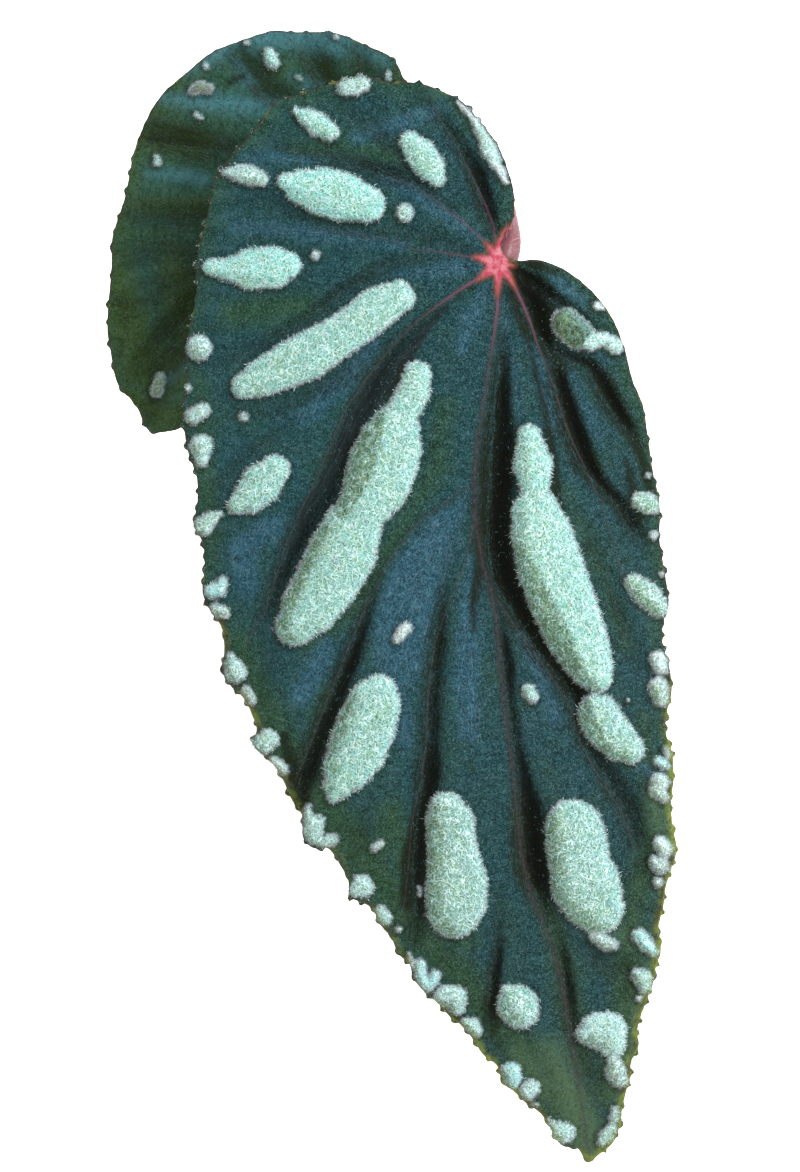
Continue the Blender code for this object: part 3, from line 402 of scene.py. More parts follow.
# Margin of the back leaf, with the part that the front leaf hides
BACK_JOINT = (-18, 10)
BACK_EDGE = (
    (-17.6, 13), (-14, 19), (-13.4, 25), (-16, 30.5), (-18, 34), (-22, 36), (-27.5, 38.2), (-33.5, 38.3),
    (-38, 38.5), (-43, 37), (-48, 35), (-52, 31.8), (-56.3, 28), (-58.8, 24), (-61, 18.5), (-62.5, 11),
    (-64.6, 4.3), (-64.8, -1), (-65.5, -10), (-65, -14.7), (-63.7, -20.5), (-60.8, -23.8), (-58.7, -28),
    (-55.8, -28.3), (-52.5, -27.2), (-46, -22), (-38, -15.5), (-30, -9), (-22, -3.5), (-14.5, 0.5),
    (-11.5, 4), (-12.5, 8), (-16, 9.6), (-18.4, 11.2),
)
BACK_PADS = {
    "faded": (
        ((-38.5, 34.7, 1.1), (-38, 33.4, 1.3)),
        ((-42, 36.6, 0.4), (-42.6, 36.5, 0.3)),
        ((-27.3, 37.6, 0.6),),
        ((-18.7, 31.4, 0.5), (-18.7, 30.6, 0.5)),
        ((-49, 32.7, 0.6),),
        ((-50.6, 24.5, 0.5), (-49.9, 24, 0.4)),
        ((-57.2, 17.4, 0.6), (-57.2, 16.6, 0.7)),
        ((-33.8, 30.8, 0.3), (-33.4, 30.6, 0.3)),
    ),
    "rosy": (
        ((-51.3, 28.5, 0.8), (-50, 29.2, 1.2), (-48.6, 28.9, 0.9)),
    ),
    "dusk": (
        ((-56.7, -19.3, 0.9), (-57.3, -21.6, 1.1)),
    ),
}
BACK_FOLDS = (
    ((-18, 10, 0.3, 0.1), (-24.5, 25, 1.4, 0.4), (-29.3, 33, 1.7, 0.8), (-31, 35.5, 1.6, 0.4)),
    ((-19, 12, 0.3, 0.1), (-21, 27, 1.4, 0.5), (-23, 34, 1.4, 0.5), (-24, 36.5, 1.3, 0.3)),
    ((-20, 12, 0.3, 0.1), (-31, 25, 1.3, 0.4), (-38, 29, 1.5, 0.7), (-43, 35, 1.3, 0.6)),
    ((-24, 12, 0.3, 0.1), (-37, 18, 1.4, 0.4), (-46, 20, 1.7, 0.6), (-52, 21, 2.1, 0.8),
     (-58, 22.6, 1.6, 0.6)),
    ((-24, 10, 0.3, 0.1), (-49, 8.5, 1.6, 0.7), (-55, 8.5, 1.7, 0.6), (-62, 9, 1.2, 0.4)),
    ((-24, 8, 0.3, 0.1), (-44, 4, 1.5, 0.4), (-52, 3, 1.6, 0.6), (-62.5, 2, 1.3, 0.4)),
    ((-24, 7, 0.3, 0.1), (-50, -0.5, 1.6, 0.6), (-56.5, -3.6, 1.6, 0.5), (-62.6, -7, 1.3, 0.3)),
    ((-24, 6, 0.3, 0.1), (-50, -4.5, 1.8, 0.6), (-55.5, -10.5, 2, 0.7), (-60.5, -16.5, 1.3, 0.4)),
    ((-24, 4, 0.3, 0.1), (-48, -9.5, 1.6, 0.5), (-53, -15.5, 1.9, 0.7), (-57, -24.6, 1.3, 0.4)),
)
# Painted bluish sheen on the bulges of the back leaf: x, y and radius
BACK_BLUE_SHEENS = (
    ((-56, 27.4, 0.6), (-50, 26.8, 1.4), (-44, 26.2, 1.6), (-37, 26, 1.4)),
    ((-59, 15, 0.3), (-55, 14.6, 0.7), (-49.5, 13.8, 0.9)),
    ((-52, 32, 1), (-44, 37, 2.2), (-36, 38.4, 2.8), (-27, 37, 3)),
    ((-44, 33.6, 0.6), (-42, 30, 0.9)),
    ((-25, 36.4, 1), (-19, 33.4, 1)),
    ((-34.4, 31, 0.4), (-30, 28.6, 0.8)),
    ((-49, -13.6, 0.3), (-55, -19.5, 0.6)),
)
# Blackish places of the back leaf, partly its own colour and partly painted shade: x, y and radius
BACK_GLOOMS = (
    ((-45.6, 29.6, 0.4), (-43, 31, 0.5)),
    ((-58, 20.6, 0.8), (-51, 20, 0.6)),
)
BACK_GREENS = (
    ((-58.6, 20.6, 2.6), (-50, 19.8, 2.2)),
    ((-61, 9.6, 1), (-50, 9.4, 1)),
    ((-64, 1, 1.4), (-63, -8, 3.4), (-60, -17, 4), (-54, -18, 3.6), (-50, -16, 4), (-52, -6, 4),
     (-54, 0, 2)),
    ((-61, -23, 2.4), (-56, -26, 2.6), (-50, -25, 2)),
    ((-37, 31, 0.5),),
)
BACK_VEINS = tuple(
    tuple((BACK_JOINT[0] + reach * math.cos(turn), BACK_JOINT[1] + reach * math.sin(turn))
          for reach in (0, 16, 32, 44))
    for turn in np.radians((88, 103, 122, 141, 160, 179, 198, 217))
)

JOINT_CALM = 5
MARGIN_STEP = 0.4
VEIN_STEP = 0.5
VEIN_SIDE = 0.28

# Bend of the front leaf: highest part way down its main vein, drooping to the tip, the lobe and both margins
BEND_TOP_Y = -40
TIP_DROOP = 22
TIP_REACH = 110
LOBE_DROOP = 11
LOBE_REACH = 70
LEFT_DROOP = 12
LEFT_REACH = 48
RIGHT_DROOP = 6
RIGHT_REACH = 28
MAIN_VEIN = (
    (15, -150), (10, -119), (3.5, -98.5), (0.8, -76), (-1.5, -55), (-4.3, -38), (-2, -18), (-0.5, 0),
    (-12, 30),
)
FOLD_SPREAD = 6.5
FOLD_FADE = 2.5
RIDGE_SHARE = 0.45
PAD_SLOPE = 1.3
RIB_REACH = 60
FAR_OUTSIDE = -3.0

BACK_JOINT_RISE = -14
BACK_LEAN = 0.22
BACK_PITCH = -0.1
BACK_DROOP = 3
BACK_REACH = 40

FRONT_STALK_ARC = (
    (4.2, 21.5, 72), (5.2, 22.8, 77), (6.6, 24.3, 86), (8.6, 25.5, 98), (10.4, 25, 108.5), (12, 22, 117.5),
)
FRONT_STALK_END = ((0.3, 9.2, -11), (1.1, 6.2, -6.8), (1.3, 3.4, -4.2), (0.8, 1, -3), (-0.1, -1.3, -2.6))
BACK_STALK_ARC = ((-3, 21, 72), (-4.4, 21.8, 78), (-5.8, 22.6, 88), (-6.2, 22.8, 100), (-5.8, 21.8, 110))
BACK_STALK_END = ((-18, 8.4, -19.5), (-18, 9.6, -15.6))

# Second colours of the plainer finishes, and the size of the net below a blade in millimetres
SHEEN_ROUGHNESS = 0.4
UNDER_PAD = (0.16, 0.22, 0.12)
UNDER_GRAIN = (0.22, 0.2, 0.13)
NET_SIZE = 1.8
FUZZ_TIP = (0.75, 0.5, 0.48)
PALE_BARK = (0.2, 0.12, 0.06)
DARK_BARK = (0.05, 0.03, 0.02)
DARK_HUSK = (0.14, 0.07, 0.04)
DRY_SOIL = (0.055, 0.034, 0.02)
DUSTY_PERLITE = (0.36, 0.31, 0.26)
DEEP_CLAY = (0.27, 0.095, 0.048)
PALE_GRIT = (0.40, 0.21, 0.12)
DARK_GRIT = (0.13, 0.042, 0.024)
PAPER = (0.95, 0.95, 0.95)

# Forms of the hairs: rise, lean, curl and joints
PAD_HAIR_FORM = (0.4, 0.5, 3.0, 2)
DOWN_FORM = (0.5, 0.0, 4.0, 1)
BRISTLE_FORM = (0.6, 0.0, 2.0, 1)
STALK_HAIR_FORM = (1.6, 0.0, 8.0, 2)
SMALLEST_GRAIN = (0.55, 0.55, 0.55)
LARGEST_GRAIN = (1.5, 1.2, 1.1)

RHIZOME_FOOT = Vector((-1, 17, 50))
RHIZOME_TOP = Vector((1, 20, 76))
RHIZOME_RADIUS = 4.7
CROWN_RADIUS = 6.3
CROWN_START = 10
CROWN_RISE = 8

# Leaf scars of the rhizome: way round in radians, height and size in millimetres
SCARS = (
    (0.2, 17.5, 2.2), (2.3, 20.5, 2), (4.3, 16.5, 2.3), (3.3, 12.5, 2), (1.2, 12, 1.9), (5.4, 21.5, 1.8),
)

# Dry scales: foot, the way that each one faces in radians, and length
SCALES = (
    ((5.2, 22.4, 73.2), 0.6, 8), ((4.4, 22, 72.6), 3.4, 7), ((-4, 21.8, 73), 2.6, 7.5),
    ((-3.6, 21, 72.4), 5.6, 6.5), ((1, 16.6, 73.6), 4.7, 5.5),
)
SCALE_ROWS = 9
SCALE_COLUMNS = 7
SCALE_THICKNESS = 0.18

# Inside of the pot, its rim band, its drain holes and the level of the soil
POT_FLOOR = 4.5
INNER_FOOT = 22.8
INNER_TOP = 33.1
INNER_HEIGHT = 66
BAND_HEIGHT = 14
CORNER_RADIUS = 1.3
POT_SIDES = 144
DRAINS = 3
DRAIN_RADIUS = 3.2
DRAIN_REACH = 13
DRAIN_LEVEL = 2
DRAIN_DEPTH = 14
SOIL_LEVEL = 60
SOIL_FOOT = 4.9
SOIL_SIDES = 120
SOIL_RINGS = 34
SOIL_LUMPS = ((9, 1.1), (3, 0.5), (1.1, 0.25))


def a_length(name, description, default, soft_max):
    return bpy.props.FloatProperty(
        name=name, description=description, default=default, min=0, soft_max=soft_max,
        unit="LENGTH", subtype="DISTANCE", precision=5,
    )


def a_share(name, description, default, soft_max=1):
    return bpy.props.FloatProperty(
        name=name, description=description, default=default, min=0, soft_max=soft_max,
    )


def a_colour(thing, default):
    return bpy.props.FloatVectorProperty(
        name=thing.capitalize(), description="Colour of the " + thing, default=default, size=3, min=0, max=1,
        subtype="COLOR",
    )


class BegoniaLeafSettings(bpy.types.PropertyGroup):
    """Sizes and colours of both leaf blades."""
    spacing: a_length("Mesh spacing", "Distance between the points of a blade", 0.00053, 0.003)
    thickness: a_length("Thickness", "Thickness of a blade away from its margin", 0.0007, 0.002)
    rim: a_length("Rim thickness", "Thickness of a blade at its margin", 0.0003, 0.001)
    tooth: a_length("Tooth height", "How far the small teeth of the margin stand out", 0.00046, 0.002)
    pad_height: a_length("Pad height", "How far a large pad stands up", 0.0014, 0.004)
    rib_height: a_length("Rib height", "How far the ribs stand out below", 0.0008, 0.003)
    fold_depth: a_share("Fold depth", "Depth of a fold as a share of its half width", 1.4, 2)
    deep: a_colour("front blade between its folds", (0.0052, 0.033, 0.038))
    pale: a_colour("pale grain on the front blade", (0.027, 0.076, 0.084))
    # The bluish bulges and their pale grain are a painted sheen
    blue: a_colour("bluish bulges", (0.009, 0.044, 0.068))
    pale_sheen_grain: a_colour("pale grain on the bluish bulges", (0.045, 0.12, 0.158))
    green: a_colour("blade near its margin and tip", (0.012, 0.038, 0.016))
    tip: a_colour("blade towards its tip", (0.050, 0.088, 0.042))
    fold: a_colour("shade down in the folds", (0.0011, 0.0016, 0.0006))
    glint: a_colour("glinting hairs in the folds", (0.034, 0.062, 0.080))
    # Gloom is painted shade beside the folds and round the pads, partly the blade's own blackish colour
    gloom: a_colour("gloom beside the folds", (0.0052, 0.0068, 0.0018))
    # Sparkle paints the sheen streaks on the bluish bulges and brightens the fine strokes
    sparkle: a_colour("brightest fine strokes", (0.16, 0.26, 0.30))
    pale_green: a_colour("pale grain near the margin", (0.036, 0.080, 0.040))
    rim_pale: a_colour("margin along its warm stretches", (0.115, 0.15, 0.028))
    rim_brown: a_colour("brownish places along the same stretches", (0.055, 0.045, 0.016))
    bank: a_colour("bank beside the lower left vein", (0.005, 0.008, 0.007))
    bank_pale: a_colour("streaks of the bank", (0.011, 0.018, 0.020))
    rim_dark: a_colour("dark stretches of the very edge", (0.036, 0.026, 0.018))
    vein_pink: a_colour("veins near the joint", (0.105, 0.042, 0.062))
    vein: a_colour("thin veins away from the joint", (0.038, 0.030, 0.033))
    pink: a_colour("star over the joint", (0.30, 0.035, 0.06))
    # The paler patches of the star are partly its own paler pink and partly painted highlight
    blush_and_highlight: a_colour("paler patches of the star", (0.42, 0.17, 0.20))
    orange: a_colour("rim of the star", (0.14, 0.04, 0.015))
    rim_colour: a_colour("very edge of a blade", (0.13, 0.15, 0.03))
    under: a_colour("underside of a blade", (0.10, 0.13, 0.06))
    under_flush: a_colour("flush below a blade", (0.16, 0.035, 0.045))
    rib: a_colour("ribs below a blade", (0.36, 0.11, 0.10))
    back_deep: a_colour("back blade", (0.019, 0.051, 0.032))
    back_pale: a_colour("pale grain on the back blade", (0.036, 0.080, 0.064))
    # The bluish places of the back blade are a painted sheen
    back_sheen: a_colour("bluish places on the back blade", (0.050, 0.125, 0.142))
    back_green: a_colour("back blade near its margin", (0.027, 0.047, 0.009))
    back_moss: a_colour("pale grain near the back blade's margin", (0.046, 0.080, 0.034))
    back_shade: a_colour("shade in the folds of the back blade", (0.009, 0.015, 0.003))


class BegoniaHairSettings(bpy.types.PropertyGroup):
    """Sizes and colours of the hairs on pads, blades and stalks."""
    pad_length: a_length("Pad hair length", "Length of a hair on a pad", 0.0010, 0.003)
    pad_width: a_length("Pad hair width", "Half width of a hair on a pad", 0.00007, 0.0003)
    pad_count: a_share("Pad hairs", "Hairs on a square millimetre of a pad", 4.2, 20)
    down_length: a_length("Down length", "Length of a fine hair on a blade", 0.0009, 0.003)
    down_width: a_length("Down width", "Half width of a fine hair on a blade", 0.00003, 0.0002)
    down_count: a_share("Down", "Fine hairs on a square millimetre of a blade", 2.2, 10)
    stalk_length: a_length("Stalk hair length", "Length of a hair on a stalk", 0.0011, 0.004)
    stalk_count: a_share("Stalk hairs", "Hairs on a square millimetre of a stalk", 1.2, 5)
    white: a_colour("hairs on the pads", (0.51, 0.65, 0.63))
    blue: a_colour("bluest hairs on the pads", (0.30, 0.52, 0.56))
    lilac: a_colour("hairs on a pad's shaded border", (0.31, 0.30, 0.37))
    down: a_colour("fine hairs on a blade", (0.028, 0.075, 0.085))
    down_tip: a_colour("palest fine hairs", (0.13, 0.21, 0.22))
    bristle_length: a_length("Bristle length", "Length of a bristle on the margin", 0.0007, 0.003)
    bristle_count: a_share("Bristles", "Bristles on a square millimetre of a tooth", 14, 50)
    bristle: a_colour("bristles on the margin", (0.42, 0.36, 0.20))
    red: a_colour("hairs on the stalks", (0.62, 0.36, 0.34))


class BegoniaPadTones(bpy.types.PropertyGroup):
    """Colours of the pads."""
    mint: a_colour("large pads", (0.210, 0.430, 0.382))
    sage: a_colour("large pads of the lower half", (0.185, 0.345, 0.305))
    frosted: a_colour("pale pad beside the tip", (0.29, 0.46, 0.44))
    aqua: a_colour("bluest large pads", (0.240, 0.555, 0.515))
    leafy: a_colour("green pad of the right lobe", (0.020, 0.038, 0.013))
    frost: a_colour("small pads near the margin", (0.27, 0.41, 0.40))
    ice: a_colour("bluest small pads", (0.25, 0.49, 0.51))
    white: a_colour("whitest small pads", (0.42, 0.48, 0.48))
    lilac: a_colour("greyer small pads", (0.25, 0.30, 0.29))
    mist: a_colour("dimmer pads of the right border", (0.17, 0.28, 0.22))
    faded: a_colour("spots of the back leaf", (0.16, 0.36, 0.31))
    rosy: a_colour("pinkish patch of the back leaf", (0.10, 0.095, 0.10))
    dusk: a_colour("dull oval of the back leaf", (0.09, 0.14, 0.085))
    lime: a_colour("warmer patches of a pad", (0.20, 0.33, 0.19))
    olive: a_colour("shaded flank of a pad", (0.045, 0.085, 0.035))


class BegoniaStalkSettings(bpy.types.PropertyGroup):
    """Sizes and colours of the stalks and the rhizome."""
    front_radius: a_length("Front radius", "Radius of the front stalk", 0.00195, 0.005)
    back_radius: a_length("Back radius", "Radius of the back stalk", 0.0017, 0.005)
    skin: a_colour("stalks", (0.120, 0.030, 0.040))
    streak: a_colour("pale streaks of the stalks", (0.17, 0.060, 0.075))
    foot: a_colour("foot of a stalk", (0.22, 0.09, 0.05))
    bark: a_colour("rhizome", (0.12, 0.065, 0.035))
    scar: a_colour("leaf scars", (0.30, 0.20, 0.12))
    husk: a_colour("dry scales round the crown", (0.36, 0.21, 0.12))


class BegoniaPotSettings(bpy.types.PropertyGroup):
    """Sizes and colours of the pot and its soil."""
    height: a_length("Height", "Height of the pot", 0.066, 0.3)
    rim_radius: a_length("Rim radius", "Outer radius of the rim", 0.0375, 0.2)
    base_radius: a_length("Base radius", "Outer radius of the base", 0.026, 0.2)
    clay: a_colour("fired clay", (0.33, 0.125, 0.062))
    clay_dark: a_colour("clay where it is damp", (0.20, 0.072, 0.038))
    lime: a_colour("pale bloom on the clay", (0.44, 0.31, 0.23))
    soil: a_colour("soil", (0.030, 0.019, 0.012))
    peat: a_colour("lighter crumbs", (0.10, 0.058, 0.032))
    perlite: a_colour("white grains", (0.62, 0.60, 0.56))
    crumb: a_length("Crumb size", "Radius of a middling crumb of soil", 0.0011, 0.004)
    crumb_count: a_share("Crumbs", "Crumbs on a square millimetre of soil", 0.42, 2)


class BegoniaStageSettings(bpy.types.PropertyGroup):
    """Floor and light."""
    floor: a_colour("floor", (0.985, 0.985, 0.985))
    glow: a_share("Glow", "Light that the floor gives off, as a light table does", 0.2, 1)
    sky: a_share("Sky", "Strength of the even light", 1.55, 3)
    key: a_share("Key light", "Power of the soft light at the upper right, in watts", 18, 100)
    key_size: a_length("Key size", "Side of the soft light at the upper right", 0.25, 1)


SETTINGS = {
    "begonia_leaf": BegoniaLeafSettings,
    "begonia_hair": BegoniaHairSettings,
    "begonia_tones": BegoniaPadTones,
    "begonia_stalk": BegoniaStalkSettings,
    "begonia_pot": BegoniaPotSettings,
    "begonia_stage": BegoniaStageSettings,
}


def smooth_points(anchors, step, closed):
    """Points at an even step along a smooth curve through the anchors."""
    middle = np.array(anchors, float)
    if closed:
        before = np.roll(middle, 1, axis=0)
        after = np.roll(middle, -1, axis=0)
        beyond = np.roll(middle, -2, axis=0)
    else:
        padded = np.vstack((2 * middle[0] - middle[1], middle, 2 * middle[-1] - middle[-2]))
        before, middle, after, beyond = padded[:-3], padded[1:-2], padded[2:-1], padded[3:]
    share = np.linspace(0, 1, 16, endpoint=False)[:, None, None]
    curve = 0.5 * (2 * middle + (after - before) * share
                   + (2 * before - 5 * middle + 4 * after - beyond) * share ** 2
                   + (3 * middle - before - 3 * after + beyond) * share ** 3)
    dense = curve.transpose(1, 0, 2).reshape(-1, curve.shape[2])
    dense = np.vstack((dense, dense[:1] if closed else after[-1:]))
    length = np.concatenate(([0], np.cumsum(np.linalg.norm(np.diff(dense, axis=0), axis=1))))
    count = max(2, 2 * round(length[-1] / step / 2))
    places = np.arange(count if closed else count + 1) * length[-1] / count
    return np.stack([np.interp(places, length, axis) for axis in dense.T], axis=1)


def on_sheet(points, rise):
    """World places of sheet points, which stay in line with the viewer as they rise, in millimetres."""
    spread = (1 - rise / VIEW_DISTANCE)[:, None]
    flat = VIEW_MIDDLE + (points - VIEW_MIDDLE) * spread
    return SHEET_ZERO + flat @ SHEET_AXES + rise[:, None] * SHEET_OUT


def step_up(values, low, high):
    """A smooth step from zero at low to one at high."""
    share = np.clip((values - low) / (high - low), 0, 1)
    return share * share * (3 - 2 * share)


def ripple(points, size, seed):
    """A cheap smooth noise between about -1 and 1, with features of about the given size."""
    x, y = points.T / size
    first = np.sin(1.7 * x + 0.9 * y + seed) * np.sin(1.3 * y - 0.6 * x + 2.1 * seed)
    second = np.sin(2.9 * x - 2.3 * y + 3.7 * seed) * np.sin(2.4 * y + 1.9 * x + 1.4 * seed)
    return 0.65 * first + 0.45 * second


def segments(chain):
    """Neighbouring places of a chain in pairs; a lone place is its own neighbour."""
    chain = np.array(chain if len(chain) > 1 else chain * 2, float)
    return zip(chain[:-1], chain[1:])


def line_field(points, line):
    """Gap to a line, its own values there, the signed gap, the run along it and the way past its ends.

    The signed gap is positive on the side of the line that lies towards the light.
    """
    line = np.array(line, float)
    ways = np.diff(line[:, :2], axis=0)
    lengths = np.linalg.norm(ways, axis=1)
    crossways = np.stack((-ways[:, 1], ways[:, 0]), axis=1)
    crossways *= 1 if crossways.sum(axis=0) @ LIGHT_SIDE > 0 else -1
    gap = np.full(len(points), np.inf)
    values = np.zeros((len(points), line.shape[1] - 2))
    side, run, past = np.zeros((3, len(points)))
    travelled = 0
    for index, (start, end, way, length) in enumerate(zip(line[:-1], line[1:], ways, lengths)):
        place = (points - start[:2]) @ way / length ** 2
        share = np.clip(place, 0, 1)
        away = points - start[:2] - share[:, None] * way
        reach = np.linalg.norm(away, axis=1)
        closer = reach < gap
        across = away @ crossways[index] / length
        before = np.clip(-place, 0, None) * length * (index == 0)
        after = np.clip(place - 1, 0, None) * length * (index == len(ways) - 1)
        beyond = before + after
        gap = np.where(closer, reach, gap)
        side = np.where(closer, np.where(beyond > 0, across, np.sign(across) * reach), side)
        run = np.where(closer, travelled + share * length, run)
        past = np.where(closer, beyond, past)
        values[closer] = (start[2:] + share[:, None] * (end[2:] - start[2:]))[closer]
        travelled += length
    return {"gap": gap, "values": values, "side": side, "run": run, "past": past}


def chain_field(points, chain):
    """Depth inside a chain of discs, and the way out from its middle line as a share of its radius."""
    depth = np.full(len(points), -np.inf)
    outward = np.zeros((len(points), 2))
    for start, end in segments(chain):
        along = end[:2] - start[:2]
        share = np.clip((points - start[:2]) @ along / max(along @ along, 1e-9), 0, 1)
        away = points - start[:2] - share[:, None] * along
        radius = start[2] + share * (end[2] - start[2])
        inside = radius - np.linalg.norm(away, axis=1)
        closer = inside > depth
        depth = np.where(closer, inside, depth)
        outward[closer] = (away / radius[:, None])[closer]
    return depth, outward


def soft_mask(points, chains, softness):
    """One inside any of the chains of discs, falling to zero over a soft border."""
    mask = np.zeros(len(points))
    for chain in chains:
        depth, _ = chain_field(points, chain)
        mask = np.maximum(mask, step_up(depth, -softness, softness))
    return mask


def calm(points, joint):
    """Zero at the stalk joint and one well away from it."""
    return step_up(np.linalg.norm(points - np.array(joint), axis=1) / JOINT_CALM, 0.4, 1.4)


def front_bend(points):
    """The front leaf's broad bend, which is zero at its joint."""
    x, y = points.T
    below = np.clip(BEND_TOP_Y - y, 0, None)
    above = np.clip(y - BEND_TOP_Y, 0, None)
    vein = np.array(MAIN_VEIN)
    side = x - np.interp(y, vein[:, 1], vein[:, 0])
    left = LEFT_DROOP * (np.clip(-side, 0, None) / LEFT_REACH) ** 2
    right = RIGHT_DROOP * (np.clip(side, 0, None) / RIGHT_REACH) ** 2
    lift = LOBE_DROOP * (BEND_TOP_Y / LOBE_REACH) ** 2
    tip = TIP_DROOP * (below / TIP_REACH) ** 2
    lobe = LOBE_DROOP * (above / LOBE_REACH) ** 2
    return lift - tip - lobe - left - right


def back_bend(points):
    """The back leaf's broad lean and droop."""
    away = points - np.array(BACK_JOINT)
    droop = BACK_DROOP * (np.linalg.norm(away, axis=1) / BACK_REACH) ** 2
    return BACK_JOINT_RISE + BACK_LEAN * away[:, 0] + BACK_PITCH * away[:, 1] - droop


FRONT = {
    "edge": FRONT_EDGE, "pads": FRONT_PADS, "veins": FRONT_VEINS, "folds": FRONT_FOLDS, "star": FRONT_STAR,
    "blue_sheens": FRONT_BLUE_SHEENS, "greens": FRONT_GREENS, "banks": FRONT_BANKS, "shades": FRONT_SHADES,
    "glooms": FRONT_GLOOMS, "pales": FRONT_PALES, "warms": FRONT_WARMS, "joint": (0, 0),
    "bend": front_bend, "softness": 2, "bite": 1, "calm_margin": FRONT_CALM_MARGIN, "crisp": 1, "seed": 3,
}
BACK = {
    "edge": BACK_EDGE, "pads": BACK_PADS, "veins": BACK_VEINS, "folds": BACK_FOLDS, "star": (),
    "blue_sheens": BACK_BLUE_SHEENS, "greens": BACK_GREENS, "banks": (), "shades": (), "glooms": BACK_GLOOMS,
    "pales": (), "warms": (), "joint": BACK_JOINT, "bend": back_bend, "softness": 3,
    "bite": 0.75, "calm_margin": BACK_CALM_MARGIN, "crisp": 0.7, "seed": 8,
}


def toothed_ring(plan, tooth):
    """The margin at a fine step, with small uneven teeth."""
    ring = smooth_points(plan["edge"], MARGIN_STEP, True)
    chance = np.random.default_rng(plan["seed"])
    tangent = np.roll(ring, -1, axis=0) - np.roll(ring, 1, axis=0)
    tangent /= np.linalg.norm(tangent, axis=1)[:, None]
    outward = np.stack((tangent[:, 1], -tangent[:, 0]), axis=1)
    places = np.arange(len(ring)) * MARGIN_STEP
    stand = np.zeros(len(ring))
    calmed = soft_mask(ring, plan["calm_margin"], 3)
    where = 1.5
    while where < places[-1] - 1.5:
        height = tooth * plan["bite"] * chance.uniform(0.4, 1.4)
        width = chance.uniform(0.45, 0.85)
        height *= 1 - 0.85 * calmed[int(where / MARGIN_STEP)]
        stand = np.maximum(stand, height * np.clip(1 - (np.abs(places - where) / width) ** 2, 0, 1))
        where += chance.uniform(1.6, 4.2) / plan["bite"]
    toothed = ring + outward * (stand + 0.05 * ripple(ring, 0.7, 1.3))[:, None]
    return toothed, stand / tooth


def inside_ring(points, ring):
    """Which of the points lie inside a closed ring."""
    crossings = np.zeros(len(points), int)
    for (x0, y0), (x1, y1) in zip(ring, np.roll(ring, -1, axis=0)):
        if y0 == y1:
            continue
        spans = (points[:, 1] > y0) != (points[:, 1] > y1)
        crossings += spans & (points[:, 0] < x0 + (points[:, 1] - y0) * (x1 - x0) / (y1 - y0))
    return crossings % 2 == 1


def blade_grid(plan, spacing, tooth):
    """Points and triangles that fill a leaf's margin, with rows along its veins, and where its teeth are."""
    ring, teeth = toothed_ring(plan, tooth)
    low = ring.min(axis=0)
    high = ring.max(axis=0)
    rows = np.arange(low[1], high[1], spacing * math.sqrt(3) / 2)
    columns = np.arange(low[0], high[0], spacing)
    y, x = np.meshgrid(rows, columns, indexing="ij")
    x = x + spacing / 2 * (np.arange(len(rows)) % 2)[:, None]
    grid = np.stack((x.ravel(), y.ravel()), axis=1)
    grid = grid[inside_ring(grid, ring)]
    along = []
    for line in plan["veins"]:
        middle = smooth_points(line, VEIN_STEP, False)
        tangent = np.gradient(middle, axis=0)
        tangent /= np.linalg.norm(tangent, axis=1)[:, None]
        across = np.stack((-tangent[:, 1], tangent[:, 0]), axis=1)
        along += [middle + across * shift for shift in (-VEIN_SIDE, 0, VEIN_SIDE)]
        grid = grid[line_field(grid, line)["gap"] > VEIN_SIDE + 0.5 * spacing]
    along = np.vstack(along)
    _, first = np.unique(np.round(along / VEIN_SIDE), axis=0, return_index=True)
    along = along[np.sort(first)]
    along = along[inside_ring(along, ring)]
    filling = np.vstack((grid, along))
    rim_line = [tuple(place) for place in np.vstack((ring[::2], ring[:1]))]
    filling = filling[line_field(filling, rim_line)["gap"] > 0.5 * spacing]
    flat = np.vstack((ring, filling))
    rim = [(i, (i + 1) % len(ring)) for i in range(len(ring))]
    found = delaunay_2d_cdt([Vector(place) for place in flat], rim, [], 1, 1e-5)
    points = np.array([tuple(place) for place in found[0]])
    return points, np.array(found[2]), np.pad(teeth, (0, len(points) - len(teeth)))


def bell(values):
    return np.exp(-values ** 2)


def fold_fields(points, plan, fold_depth):
    """How the folds lift and lower a blade, and how dark they and their floors are: painted shade, partly the
    blade's own dark bands.
    """
    relief, shade, valley = np.zeros((3, len(points)))
    for line in plan["folds"]:
        near = line_field(points, line)
        width, dark = near["values"].T
        side = near["side"]
        fade = bell(near["past"] / FOLD_FADE)
        foot = side + width
        rise = 3 * width
        climb = step_up(foot, 0, rise) - 1 + RIDGE_SHARE
        climb = np.where(foot < 0, (RIDGE_SHARE - 1) * np.exp(foot / FOLD_SPREAD), climb)
        climb = np.where(foot > rise, RIDGE_SHARE * np.exp(-(foot - rise) / FOLD_SPREAD), climb)
        relief += fold_depth * width * (0.45 + 0.55 * dark) * fade * climb
        breadth = width * (1 + 0.25 * ripple(points, 3.3, 6.1))
        reach = np.where(side < 0, -side - 0.75 * breadth, side - 0.1 * breadth)
        soft = bell(np.clip(reach, 0, None) / np.where(side < 0, 0.4, width + 0.35))
        shade = np.maximum(shade, dark * fade * soft)
        beside = foot / (0.3 + width)
        beside = step_up(beside, -1.5, -0.5) * (1 - step_up(beside, 0, 0.8))
        valley = np.maximum(valley, dark * fade * beside)
    return relief, shade, valley


def pad_fields(points, pads, tones):
    """Depth inside the pads, the way out of them, their colours and their greatest radius."""
    pad = np.full(len(points), FAR_OUTSIDE)
    outward = np.zeros((len(points), 2))
    tint = np.tile((*tones.mint, 1.0), (len(points), 1))
    broad = np.ones(len(points))
    for tone, chains in pads.items():
        for chain in chains:
            depth, out = chain_field(points, chain)
            closer = depth > pad
            pad = np.where(closer, depth, pad)
            outward[closer] = out[closer]
            tint[closer] = (*getattr(tones, tone), 1)
            broad[closer] = max(disc[2] for disc in chain)
    return pad, outward, tint, broad


